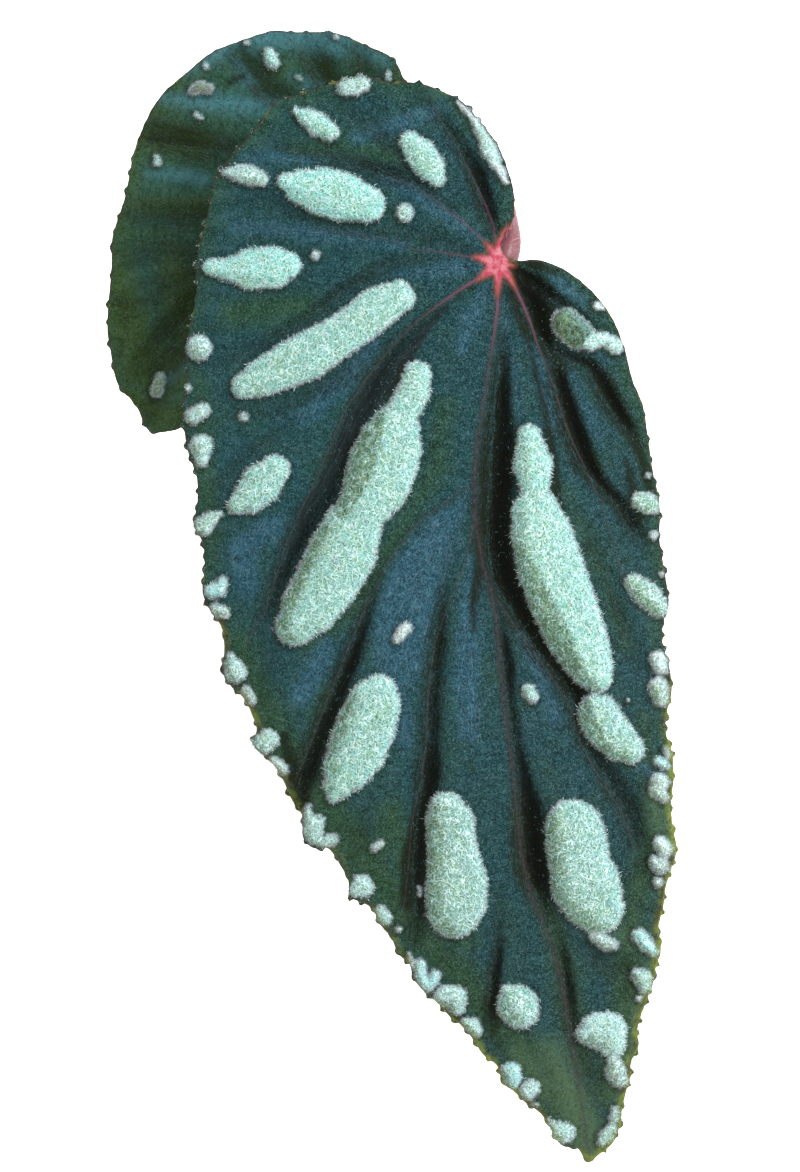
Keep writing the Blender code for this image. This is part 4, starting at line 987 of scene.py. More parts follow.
def vein_fields(points, veins, away):
    """Strength of the veins, the midrib's halo and the ribs below, and the flow along the nearest vein."""
    vein, halo, rib, run, side = np.zeros((5, len(points)))
    nearest = np.full(len(points), np.inf)
    order = np.exp(-away / RIB_REACH)
    for line in veins:
        near = line_field(points, line)
        gap = near["gap"]
        shown = 1 if line[-1][1] < UPPER_VEINS_END else UPPER_VEIN_SHARE
        vein = np.maximum(vein, shown * bell(gap / 0.27))
        halo = np.maximum(halo, bell(gap / 0.6) if line is MIDRIB else 0)
        rib = np.maximum(rib, bell(gap / (0.45 + 0.5 * order)) * (0.35 + 0.65 * order))
        closer = gap < nearest
        nearest = np.where(closer, gap, nearest)
        run = np.where(closer, near["run"], run)
        side = np.where(closer, near["side"], side)
    return vein, halo, rib, np.stack((run, side, nearest), axis=1)


def leaf_fields(points, plan, leaf, tones):
    """Relief and colour masks of a leaf at its points."""
    edge_line = [tuple(place) for place in smooth_points(plan["edge"], 1.2, True)]
    edge_gap = line_field(points, edge_line + edge_line[:1])["gap"]
    away = np.linalg.norm(points - np.array(plan["joint"]), axis=1)
    still = calm(points, plan["joint"])
    relief, shade, valley = fold_fields(points, plan, leaf.fold_depth)
    pad, outward, tint, broad = pad_fields(points, plan["pads"], tones)
    vein, halo, rib, flow = vein_fields(points, plan["veins"], away)

    raised = leaf.pad_height / MM * (1 - np.exp(-np.clip(pad, 0, None) / PAD_SLOPE))
    wobble = 0.17 * ripple(points, 0.42, 2.2) + 0.1 * ripple(points, 0.2, 5.1)
    pad = pad + wobble * np.clip(broad / 2, 0.3, 1)
    star = np.full(len(points), FAR_OUTSIDE)
    for ray in plan["star"]:
        star = np.maximum(star, chain_field(points, ray)[0])
    rise = plan["bend"](points)
    folds = relief * still
    quilt = 0.07 * ripple(points, 2.6, 4.4) + 0.035 * ripple(points, 1.1, 7.7)
    thickness = leaf.rim / MM + (leaf.thickness - leaf.rim) / MM * step_up(edge_gap, 0, 3)
    lifted = 0.8 * raised * step_up(edge_gap, 0.5, 3)

    def inside(places, softness):
        return soft_mask(points, plan[places], softness)

    return {
        "top": rise + folds + (raised + quilt) * still + 0.12 * vein * still,
        "bottom": rise + folds + (lifted + quilt) * still - thickness - leaf.rib_height / MM * rib,
        "pad": step_up(pad, -0.12, 0.22),
        "pad_depth": np.clip(pad, -3, 6),
        "hair_scale": np.clip(broad / 3, 0.35, 1) * (0.5 + 0.5 * step_up(pad, 0.2, 1)),
        "flank": np.clip(-(outward @ LIGHT_SIDE), -1, 1),
        "fold": shade,
        "valley": valley,
        "vein": vein,
        "halo": halo,
        "rib": rib,
        "away": away,
        # x on the sheet, for the painted gradient of light
        "across": points[:, 0],
        "star": star,
        "edge": edge_gap,
        # The blue mask places the painted bluish sheen
        "blue": inside("blue_sheens", plan["softness"]),
        "green": np.maximum(inside("greens", 2.6), 0.6 * (1 - step_up(edge_gap, 0.5, 4))),
        "bank": inside("banks", 0.35),
        # Painted olive shade on the flanks of the largest pads
        "olive": inside("shades", 0.5),
        "pale": inside("pales", 3),
        "warm": inside("warms", 1.5),
        # Painted shade beside the folds, partly the blade's own blackish colour
        "gloom": inside("glooms", 1.2),
        "flow": flow,
        "tint": tint,
        "outward": outward,
    }


def open_edges(faces):
    """Directed edges of a triangle sheet that have no triangle on their other side."""
    pairs = np.vstack((faces[:, (0, 1)], faces[:, (1, 2)], faces[:, (2, 0)]))
    size = faces.max() + 1
    forward = pairs[:, 0] * size + pairs[:, 1]
    backward = pairs[:, 1] * size + pairs[:, 0]
    return pairs[~np.isin(forward, backward)]


def store(mesh, name, values):
    """Keeps a number or a colour on each point of a mesh."""
    kind, entry = {1: ("FLOAT", "value"), 3: ("FLOAT_VECTOR", "vector"), 4: ("FLOAT_COLOR", "color")}[
        1 if values.ndim == 1 else values.shape[1]]
    mesh.attributes.new(name, kind, "POINT").data.foreach_set(entry, values.astype(np.float32).ravel())


def leaf_mesh(name, plan, leaf, tones):
    """A leaf blade with a detailed top, a ribbed underside and a closed rim."""
    points, faces, teeth = blade_grid(plan, leaf.spacing / MM, leaf.tooth / MM)
    fields = leaf_fields(points, plan, leaf, tones)
    count = len(points)
    top, bottom = (on_sheet(points, fields.pop(side)) for side in ("top", "bottom"))
    below = faces[:, ::-1] + count
    rim = open_edges(faces)
    walls = np.stack((rim[:, 0], rim[:, 0] + count, rim[:, 1] + count, rim[:, 1]), axis=1)
    mesh = bpy.data.meshes.new(name)
    mesh.from_pydata(np.vstack((top, bottom)) * MM, [], faces.tolist() + below.tolist() + walls.tolist())
    under = np.repeat((0, 1, 0), (len(faces), len(below), len(walls))).astype(np.int32)
    mesh.polygons.foreach_set("material_index", under)

    bare = np.zeros(count)
    near_border = 1 - step_up(fields["pad_depth"], 0.1, 0.8)
    lean = (fields.pop("outward") * near_border[:, None]) @ SHEET_AXES
    bald = step_up(fields["star"], -1.2, -0.2)
    down = (1 - fields["pad"]) * (1 - 0.75 * fields["fold"]) * (1 - bald)
    kept = {label: (values, values) for label, values in fields.items()}
    kept["lean"] = (lean, lean)
    kept["pad_hair"] = (fields["pad"] * (1 + 0.9 * near_border), bare)
    kept["down"] = (down, 0.25 + 0.5 * fields["rib"])
    kept["teeth"] = (step_up(teeth, 0.5, 1), bare)
    for label, sides in kept.items():
        store(mesh, label, np.concatenate(sides))
    flat = np.tile(points, (2, 1)) / 200 + 0.5
    corners = np.zeros(len(mesh.loops), np.int32)
    mesh.loops.foreach_get("vertex_index", corners)
    mesh.uv_layers.new(name="sheet").data.foreach_set("uv", flat[corners].astype(np.float32).ravel())
    mesh.shade_smooth()
    mesh.update()
    return mesh


def port(ports, key):
    """A socket by its number, or by its name among the sockets that are in use."""
    if isinstance(key, int):
        return ports[key]
    return next(item for item in ports if item.name == key and item.enabled)


def fill(target, value):
    """Joins a signal to a socket, or gives the socket a value or colour of its own."""
    if isinstance(value, Signal):
        value.tree.links.new(value.socket, target)
    else:
        target.default_value = (*value, 1) if target.type == "RGBA" else value


def add(tree, kind, values, **options):
    """Adds a node with its options set and its inputs filled."""
    node = tree.nodes.new(kind)
    for key, value in options.items():
        setattr(node, key, value)
    for key, value in values.items():
        fill(port(node.inputs, key), value)
    return node


def made(tree, kind, values=None, out=0, **options):
    """What a new node gives at one of its outputs."""
    return Signal(port(add(tree, kind, values or {}, **options).outputs, out))


class Signal:
    """A value, vector or colour on its way through a node tree, and the sums that can be done with it."""

    def __init__(self, socket):
        self.socket = socket
        self.tree = socket.id_data

    def maths(self, operation, other=0.0):
        return made(self.tree, "ShaderNodeMath", {0: self, 1: other}, operation=operation)

    def __add__(self, other):
        return self.maths("ADD", other)

    def __sub__(self, other):
        return self.maths("SUBTRACT", other)

    def __rsub__(self, other):
        return made(self.tree, "ShaderNodeMath", {0: other, 1: self}, operation="SUBTRACT")

    def __mul__(self, other):
        return self.maths("MULTIPLY", other)

    def __truediv__(self, other):
        return self.maths("DIVIDE", other)

    def __abs__(self):
        return self.maths("ABSOLUTE")

    def most(self, other):
        return self.maths("MAXIMUM", other)

    def ramp(self, low, high, bottom=0.0, top=1.0):
        """A smooth step from bottom to top as the value goes from low to high."""
        values = {"Value": self, "From Min": low, "From Max": high, "To Min": bottom, "To Max": top}
        return made(self.tree, "ShaderNodeMapRange", values, "Result", interpolation_type="SMOOTHSTEP")

    def vector(self, operation, other=(0, 0, 0), key=1):
        return made(self.tree, "ShaderNodeVectorMath", {0: self, key: other}, operation=operation)

    def scaled(self, factor):
        return self.vector("SCALE", factor, "Scale")


class Finish:
    """A material in the making, with fixed gloss numbers. Its sizes are in millimetres."""

    def __init__(self, name, roughness, specular, sheen=0.0):
        self.material = bpy.data.materials.new(name)
        self.material.use_nodes = True
        self.tree = self.material.node_tree
        self.shader = self.tree.nodes["Principled BSDF"]
        self.set("Roughness", roughness)
        self.set("Specular IOR Level", specular)
        self.set("Sheen Weight", sheen)
        self.set("Sheen Roughness", SHEEN_ROUGHNESS)

    def set(self, key, value):
        fill(self.shader.inputs[key], value)

    def mask(self, name, out="Fac"):
        """A number, or with its output named a vector or colour, that the mesh keeps on its points."""
        return made(self.tree, "ShaderNodeAttribute", None, out, attribute_name=name)

    def here(self):
        return made(self.tree, "ShaderNodeTexCoord", None, "Object")

    def drawn_out(self, scale, place=None):
        return made(self.tree, "ShaderNodeMapping", {"Vector": place or self.here(), "Scale": scale})

    def speckle(self, size, detail=2.0, rough=0.5, kind=0.0, place=None):
        """Noise with features of about the given size, centred on one half."""
        values = {"Vector": place or self.here(), "W": kind, "Scale": 1 / (size * MM), "Detail": detail,
                  "Roughness": rough}
        return made(self.tree, "ShaderNodeTexNoise", values, "Fac", noise_dimensions="4D")

    def strokes(self, size, width, kind):
        """Thin curved lines, about the given distance apart, broken into short lengths."""
        ridge = abs(self.speckle(size, 0, 0.5, kind) - 0.5)
        broken = self.speckle(0.7 * size, 1, 0.5, kind + 5).ramp(0.48, 0.56)
        return ridge.ramp(width, 0.3 * width) * broken

    def wander(self, place, scale, detail, distortion=0.0):
        """Noise that follows a place of the mesh's own, such as the way round a stalk."""
        values = {"Vector": place, "Scale": scale, "Detail": detail, "Roughness": 0.6,
                  "Distortion": distortion}
        return made(self.tree, "ShaderNodeTexNoise", values, "Fac")

    def flow_noise(self, along, across, detail=3.0):
        """Noise with features of the given sizes along and across the nearest vein."""
        drawn = self.mask("flow", "Vector").vector("MULTIPLY", (1 / along, 1 / across, 0.3))
        return self.wander(drawn, 1, detail, 0.4)

    def mix(self, share, first, second, blend="MIX"):
        """Blends two colours, each a signal or a plain colour."""
        colours = {0: share, 6: first, 7: second}
        return made(self.tree, "ShaderNodeMix", colours, 2, data_type="RGBA", blend_type=blend)

    def paint(self, base, *layers):
        """Lays colours over a base in turn, each by its share."""
        for share, colour in layers:
            base = self.mix(share, base, colour)
        return base

    def done(self, colour, relief=None, distance=0.0, strength=1.0):
        """The material, with its colour and relief joined to the shader."""
        self.set("Base Color", colour)
        if relief:
            values = {"Height": relief, "Distance": distance * MM, "Strength": strength}
            self.set("Normal", made(self.tree, "ShaderNodeBump", values))
        return self.material


def olive_shade_share(look):
    """How olive a pad is: painted shade on its flank away from the light, more so away from the joint, and in
    its olive places.
    """
    shady = look.mask("flank").ramp(-0.1, 0.55, 0, 0.85) * look.mask("pad_depth").ramp(5, 1.5)
    return (shady * look.mask("away").ramp(25, 70, 0.3, 1)).most(look.mask("olive"))


def pad_light(look, least):
    """How light a pad's own colour is, so that dark pads get fewer white hairs."""
    green = made(look.tree, "ShaderNodeSeparateColor", {"Color": look.mask("tint", "Color")}, "Green")
    return green.ramp(0.07, 0.3, least, 1)


class LeafTop(Finish):
    """The velvety top of a blade with folds, veins, star and pads, all placed by the blade's own masks."""

    def __init__(self, name, palette, crisp, settings):
        super().__init__(name, 0.62, 0.05)
        self.crisp = crisp
        self.leaf, self.hair, self.tones = settings
        self.grain = self.speckle(0.3, 3, 0.65)
        self.clump = self.speckle(0.8, 2, 0.6, 3)
        self.streak = self.flow_noise(4, 0.35)
        self.fine_streak = self.flow_noise(1.6, 0.16)
        self.felt = self.speckle(0.28, 3, 0.7)
        self.away = self.mask("away")
        deep, pale, blue, pale_sheen_grain, green, pale_green, shade = palette
        # The bluish places are a painted sheen on the bulges, with paler painted grain
        blue_sheen = self.mask("blue")
        greenness = self.mask("green")
        ragged = (self.speckle(2, 4, 0.6) - 0.5) * 1.2
        on_blue_sheen = (blue_sheen + ragged * blue_sheen).ramp(0.1, 1, 0, 0.9)
        self.light_grain = self.paint(pale, (greenness * 0.9, pale_green), (on_blue_sheen * 0.9, pale_sheen_grain))
        bulges = self.speckle(6, 3).ramp(0.38, 0.68, 0, 0.5)
        base = self.paint(deep, (bulges, green), (greenness, green), (on_blue_sheen, blue))
        # The blade's colours are multiplied by a painted gradient of light
        base = self.velvet(self.mix(1.0, base, self.light(), "MULTIPLY"), on_blue_sheen)
        base = self.stars(self.veins(self.folds(base, shade)))
        base = self.margin(self.paint(base, (self.cast(), self.leaf.gloom), (self.mask("pad"), self.pads())))
        self.set("Roughness", self.grain.ramp(0.3, 0.7, 0.5, 0.75))
        self.done(base, self.grain * 0.9 + self.clump * 1.2 + self.streak * 0.5, 0.25, 0.9)

    def light(self):
        """Painted light and shade over the blade: duller and less red near the joint, and lighter on its
        left.
        """
        light = self.away.ramp(8, 60, 0.76, 0.92) * self.mask("across").ramp(-45, 28, 1.08, 0.83)
        values = {"Red": self.away.ramp(10, 75, 0.48, 0.97), "Green": light, "Blue": light}
        return made(self.tree, "ShaderNodeCombineColor", values)

    def velvet(self, base, on_blue_sheen):
        """Pale and dark grain, flecks, fine strokes and painted sheen streaks on the bluish bulges."""
        leaf, crisp, clump, grain = self.leaf, self.crisp, self.clump, self.grain
        cross = self.flow_noise(0.8, 3)
        bright_grain = self.mix(0.25, self.light_grain, leaf.sparkle)
        return self.paint(
            base,
            (cross.ramp(0.5, 0.7, 0, 0.4), self.light_grain),
            (cross.ramp(0.5, 0.3, 0, 0.4), leaf.fold),
            (self.mask("pale") * 0.85, leaf.tip),
            (clump.ramp(0.5, 0.7, 0, 0.2), self.light_grain),
            (clump.ramp(0.48, 0.3, 0, 0.45), leaf.fold),
            (grain.ramp(0.5, 0.72, 0, 0.75 * crisp), self.light_grain),
            (grain.ramp(0.46, 0.3, 0, 0.8 * crisp), leaf.fold),
            (self.speckle(0.34, 1, 0.5, 17).ramp(0.36, 0.29, 0, 0.8 * crisp), leaf.fold),
            *((self.strokes(0.45, 0.06, kind) * (0.45 * crisp), bright_grain) for kind in (21, 26)),
            # Painted sheen: bright streaks along the veins on the bluish bulges
            (on_blue_sheen * self.fine_streak.ramp(0.52, 0.7, 0, 0.3 * crisp), leaf.sparkle),
        )

    def folds(self, base, shade):
        """Dark folds, painted shade partly the blade's own dark bands, with streaks across their brinks,
        gloomy places and the grey bank.
        """
        leaf, streak, fine_streak = self.leaf, self.streak, self.fine_streak
        fold = self.mask("fold")
        valley = self.mask("valley")
        bank = self.mask("bank") * 0.9
        gloom = (self.mask("gloom") + (streak - 0.5)).ramp(0.15, 0.9)
        halo = self.mix(fold.ramp(0.5, 0.9), leaf.gloom, shade)
        uneven = (streak - 0.5) * 1.3 + (fine_streak - 0.5) * 0.9 + (self.grain - 0.5) * 1.4
        ragged = fold + uneven * fold.ramp(0.25, 0.8)
        glints = self.flow_noise(0.75, 0.1, 1).ramp(0.57, 0.68, 0, 0.5) * streak.ramp(0.42, 0.6, 0.3, 1)
        brink = fold.ramp(0.1, 0.35) * fold.ramp(0.9, 0.55) * (0.5 * self.crisp)
        return self.paint(
            base,
            # Painted shade: gloom, the halo and the dark of the folds, partly the blade's own dark bands
            (gloom * 0.85, leaf.gloom),
            (fold.ramp(0.05, 1, 0, 0.75), halo),
            (ragged.ramp(0.4, 1.05, 0, 0.93), shade),
            # Painted shade on the floors of the folds, and painted glints on their hairs
            (valley * fine_streak.ramp(0.6, 0.44, 0.3, 0.95), leaf.gloom),
            (glints * valley.ramp(0.15, 0.6), leaf.glint),
            *((self.strokes(0.6, 0.05, kind) * brink, self.light_grain) for kind in (51, 56)),
            (bank, self.mix(streak.ramp(0.38, 0.65), leaf.bank, leaf.bank_pale)),
            (bank * fine_streak.ramp(0.56, 0.68, 0, 0.3), leaf.glint),
        )

    def veins(self, base):
        """Thin veins, pinker and broader near the joint, and the halo of the midrib."""
        leaf, away, clump = self.leaf, self.away, self.clump
        vein = self.mask("vein")
        sideways = made(self.tree, "ShaderNodeSeparateXYZ", {"Vector": self.mask("flow", "Vector")}, "Y")
        aside = abs(sideways) / away.ramp(5, 24, 2, 1)
        thin = aside.ramp(0.18, 0.07) * vein.ramp(0.02, 0.6) * away.ramp(10, 60, 0.9, 0.55)
        thin = thin * (clump + away.ramp(8, 20, 0.4, 0)).ramp(0.34, 0.56, 0.3, 1)
        soft = vein * away.ramp(3, 12, 0.6, 0.08)
        colour = self.mix(away.ramp(4, 18, 1, 0), leaf.vein, leaf.vein_pink)
        halo = self.mask("halo") * clump.ramp(0.35, 0.6, 0.1, 0.4)
        return self.paint(base, (halo, leaf.vein), (thin.most(soft), colour))

    def stars(self, base):
        """The pink star over the joint, with its orange rim and paler patches that are partly painted
        highlight.
        """
        leaf = self.leaf
        star = self.mask("star") + (self.clump - 0.5) * 0.6
        patches = self.speckle(1.1, 3, 0.6).ramp(0.36, 0.6, 0.05, 0.85)
        flesh = self.paint(leaf.pink, (patches, leaf.blush_and_highlight), (star.ramp(1, 0.1, 0, 0.6), leaf.pink))
        return self.paint(base, (star.ramp(-0.8, 0.2, 0, 0.6), leaf.orange), (star.ramp(-0.25, 0.55), flesh))

    def cast(self):
        """The shadow round a pad, mostly on its side away from the light."""
        near = self.mask("pad_depth").ramp(-1.3, -0.1) * self.mask("flank").ramp(-0.3, 0.6, 0.2, 0.75)
        return near * self.felt.ramp(0.35, 0.6, 1, 0.6)

    def pads(self):
        """Felted pads with patches, pits, white strokes and a border of lilac and olive gaps, with painted
        shade and highlight.
        """
        tones, hair, felt = self.tones, self.hair, self.felt
        depth = self.mask("pad_depth")
        flank = self.mask("flank")
        olive = olive_shade_share(self) * self.speckle(0.9, 3).ramp(0.25, 0.55)
        middle = depth.ramp(0.6, 2.2) * self.speckle(1.3, 2, 0.5, 4).ramp(0.4, 0.62)
        tufts = self.speckle(2.2, 2, 0.5, 33).ramp(0.36, 0.6, 0.7, 1)
        shown = pad_light(self, 0) * (0.9 - olive * 0.6) * tufts
        border = (depth + (felt - 0.5) * 1.2).ramp(0.75, 0.1)
        # The gaps darken on the flank away from the light, a painted shade
        gaps = self.paint(tones.olive, (felt.ramp(0.4, 0.54, 0.25, 1), hair.lilac),
                          (flank.ramp(0.1, 0.8, 0, 0.5), tones.olive))
        return self.paint(
            self.mask("tint", "Color"),
            (self.speckle(3.5, 3).ramp(0.42, 0.68, 0, 0.45), tones.lime),
            # Painted highlight: icy on the side of a pad towards the light
            (flank.ramp(0, -0.9, 0, 0.5), tones.ice),
            (self.speckle(1.1, 2, 0.5, 9).ramp(0.5, 0.66, 0, 0.35), tones.ice),
            # Painted shade: olive on the flank away from the light
            (olive * 0.9, tones.olive),
            (middle * 0.4, tones.lime),
            (felt.ramp(0.56, 0.32, 0, 0.95), tones.olive),
            (self.speckle(0.5, 1, 0.5, 14).ramp(0.37, 0.3, 0, 0.6), tones.olive),
            *((self.strokes(0.85, 0.05, kind) * shown, hair.white) for kind in (31, 37, 43)),
            # The border shows most on the flank away from the light, a painted shade
            (border * flank.ramp(-0.6, 0.7, 0.5, 0.85), gaps),
        )

    def margin(self, base):
        """The very edge, dark or yellowish, and the warm band inside it."""
        leaf = self.leaf
        edge = self.mask("edge")
        warm = self.mask("warm")
        rim = self.mix(self.speckle(3, 2).ramp(0.56, 0.64, 0, 0.6).most(warm), leaf.rim_dark, leaf.rim_colour)
        band = edge.ramp(1.6, 0.2) * self.clump.ramp(0.35, 0.6, 0.2, 0.9) * warm
        band_colour = self.mix(self.speckle(2.4, 2).ramp(0.42, 0.6), leaf.rim_pale, leaf.rim_brown)
        patchy = edge.ramp(0.4, 0.1) * self.speckle(1.4, 2, 0.5, 7).ramp(0.35, 0.6, 0.35, 0.9)
        return self.paint(base, (band, band_colour), (patchy, rim))


def leaf_under_material(name, leaf):
    look = Finish(name, 0.55, 0.25, 0.1)
    grain = look.speckle(0.5, 3)
    colour = look.paint(
        leaf.under,
        (look.speckle(9, 3).ramp(0.4, 0.65, 0.1, 0.75), leaf.under_flush),
        (look.mask("pad").ramp(0, 1, 0, 0.4), UNDER_PAD),
        (look.mask("rib").ramp(0.12, 0.7), leaf.rib),
        (look.mask("edge").ramp(1.2, 0.1, 0, 0.6), leaf.under_flush),
        (grain.ramp(0.35, 0.7, 0, 0.4), UNDER_GRAIN),
    )
    values = {"Vector": look.here(), "Scale": 1 / (NET_SIZE * MM)}
    cells = made(look.tree, "ShaderNodeTexVoronoi", values, "Distance", feature="DISTANCE_TO_EDGE")
    return look.done(colour, grain * 0.4 - cells.ramp(0, 0.12), 0.12, 0.7)


def pad_hair_material(hair, tones):
    look = Finish("pad_hair", 0.5, 0.3)
    dice = look.mask("dice")
    flank = look.mask("flank")
    light = pad_light(look, 0.25)
    # The fringe darkens on the flank away from the light, a painted shade
    fringe = look.paint(
        hair.lilac,
        (dice.ramp(0.7, 0.85), hair.white),
        (dice.ramp(0.4, 0.2, 0, 0.45), tones.olive),
        (flank.ramp(0.1, 0.8, 0, 0.45), tones.olive),
    )
    return look.done(look.paint(
        look.mask("tint", "Color"),
        (dice.ramp(0.6, 0.35) * light, hair.white),
        (dice.ramp(0.8, 0.9) * light, hair.blue),
        # Painted shade: olive hairs on the flank away from the light
        (olive_shade_share(look) * dice.ramp(1, 0.25, 0.15, 0.9), tones.olive),
        (look.mask("pad_depth").ramp(0.6, 0.1) * flank.ramp(-0.8, 0.3, 0.5, 1), fringe),
    ))


def down_material(name, first, second):
    """Mostly dim fine hairs with a few bright ones."""
    look = Finish(name, 0.5, 0.2)
    return look.done(look.paint(first, (look.mask("dice").ramp(0.5, 1), second)))


def stalk_material(stalk):
    look = Finish("stalk_skin", 0.42, 0.4, 0.1)
    streak = look.wander(look.drawn_out((9, 0.9, 1), look.mask("round", "Vector")), 3, 4)
    colour = look.paint(
        stalk.skin,
        (streak.ramp(0.42, 0.72, 0, 0.8), stalk.streak),
        (look.mask("along").ramp(0.2, 0, 0, 0.85), stalk.foot),
        (look.speckle(0.4, 2).ramp(0.5, 0.75, 0, 0.35), stalk.streak),
    )
    return look.done(colour, streak, 0.12, 0.6)


def rhizome_material(stalk):
    look = Finish("rhizome_bark", 0.75, 0.25)
    colour = look.paint(
        stalk.bark,
        (look.speckle(3, 4, 0.6).ramp(0.35, 0.7), PALE_BARK),
        (look.mask("scar").ramp(0.2, 0.8), stalk.scar),
        (look.speckle(0.6, 3).ramp(0.55, 0.72, 0, 0.6), DARK_BARK),
    )
    return look.done(colour, look.speckle(0.8, 4, 0.65), 0.35)


def husk_material(stalk):
    look = Finish("dry_scale", 0.7, 0.25)
    fibre = look.speckle(0.35, 3, 0.6, place=look.drawn_out((1, 1, 0.15)))
    return look.done(look.paint(stalk.husk, (fibre.ramp(0.35, 0.7), DARK_HUSK)), fibre, 0.15)


def soil_material(name, pot):
    look = Finish(name, 0.92, 0.2)
    colour = look.paint(
        pot.soil,
        (look.mask("dice").ramp(0.35, 1), pot.peat),
        (look.speckle(0.5, 3).ramp(0.4, 0.7, 0, 0.6), DRY_SOIL),
    )
    return look.done(colour, look.speckle(0.35, 4, 0.7), 0.3)


def perlite_material(pot):
    look = Finish("perlite", 0.85, 0.3)
    colour = look.paint(pot.perlite, (look.speckle(0.4, 3).ramp(0.45, 0.7, 0, 0.5), DUSTY_PERLITE))
    return look.done(colour, look.speckle(0.3, 3), 0.25)


def clay_material(pot):
    """Fired clay with a lighter bloom near the rim and foot, fine grit and turning marks."""
    look = Finish("fired_clay", 0.86, 0.22)
    height = made(look.tree, "ShaderNodeSeparateXYZ", {0: look.here()}, "Z")
    cloud = look.speckle(14, 5, 0.6)
    damp = height + cloud * 0.02
    grit = look.speckle(0.5, 3, 0.6)
    colour = look.paint(
        pot.clay,
        (cloud.ramp(0.35, 0.7), DEEP_CLAY),
        (damp.ramp(0.03, 0.012, 0, 0.55), pot.clay_dark),
        (look.speckle(6, 6, 0.7).ramp(0.5, 0.75) * damp.ramp(0.024, 0.06, 0.35, 0.8), pot.lime),
        (grit.ramp(0.6, 0.72, 0, 0.6), PALE_GRIT),
        (look.speckle(0.9).ramp(0.34, 0.27, 0, 0.7), DARK_GRIT),
    )
    turning = look.speckle(0.9, 4, 0.6, place=look.drawn_out((0.06, 0.06, 1)))
    return look.done(colour, turning * 0.8 + grit * 0.5, 0.16)


def linked(name, data):
    """An object of a mesh, lamp or camera, linked to the scene."""
    made_object = bpy.data.objects.new(name, data)
    bpy.context.scene.collection.objects.link(made_object)
    return made_object


def plain_mesh(worker):
    """The worker's mesh with its modifiers worked in, and the worker removed."""
    bpy.context.view_layer.update()
    graph = bpy.context.evaluated_depsgraph_get()
    mesh = bpy.data.meshes.new_from_object(worker.evaluated_get(graph))
    bpy.data.objects.remove(worker)
    return mesh


def keep(name, mesh, slot, *replaced):
    """A finished piece, which rides on the part; the slot that it is given is not used."""
    mesh.name = name
    piece = linked(name, mesh)
    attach(piece, BODY)
    if replaced:
        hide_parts(*replaced)


def node_group(name, inputs):
    """An empty geometry tree with named inputs: the tree, and what comes in."""
    tree = bpy.data.node_groups.new(name, "GeometryNodeTree")
    for way in ("INPUT", "OUTPUT"):
        tree.interface.new_socket("Geometry", in_out=way, socket_type="NodeSocketGeometry")
    for label, kind in inputs.items():
        tree.interface.new_socket(label, in_out="INPUT", socket_type="NodeSocket" + kind)
    return tree, {item.name: Signal(item) for item in tree.nodes.new("NodeGroupInput").outputs}


def grow(name, mesh, tree, values):
    """The plain mesh that a geometry tree makes of a mesh."""
    worker = linked(name, mesh)
    modifier = worker.modifiers.new(name, "NODES")
    modifier.node_group = tree
    for item in tree.interface.items_tree:
        if item.in_out == "INPUT" and item.name in values:
            modifier[item.identifier] = values[item.name]
    return plain_mesh(worker)


def random_value(tree, kind, low, high, seed):
    values = {"Min": low, "Max": high, "Seed": seed}
    return made(tree, "FunctionNodeRandomValue", values, "Value", data_type=kind)


def named(tree, kind, name):
    return made(tree, "GeometryNodeInputNamedAttribute", {"Name": name}, "Attribute", data_type=kind)


def strewn(tree, given, weight):
    """Spots on the surface that comes in, closer where their weight is high, and the way out at each."""
    values = {"Mesh": given["Geometry"], "Density": given["Density"] * weight, "Seed": given["Seed"]}
    ports = add(tree, "GeometryNodeDistributePointsOnFaces", values).outputs
    return Signal(ports["Points"]), Signal(ports["Normal"])


def on_spots(tree, spots, piece, turn, size, seed):
    """The piece on each of the spots, marked with a throw of the dice, as plain geometry."""
    dice = random_value(tree, "FLOAT", 0.0, 1.0, seed)
    values = {"Geometry": spots, "Name": "dice", "Value": dice}
    marked = made(tree, "GeometryNodeStoreNamedAttribute", values, data_type="FLOAT")
    values = {"Points": marked, "Instance": piece, "Rotation": turn, "Scale": size}
    placed = made(tree, "GeometryNodeInstanceOnPoints", values)
    return made(tree, "GeometryNodeRealizeInstances", {"Geometry": placed})


def close_tree(tree, geometry, finish):
    """Gives the geometry its finish and sends it out."""
    painted = made(tree, "GeometryNodeSetMaterial", {"Geometry": geometry, "Material": finish})
    add(tree, "NodeGroupOutput", {"Geometry": painted})
    return tree


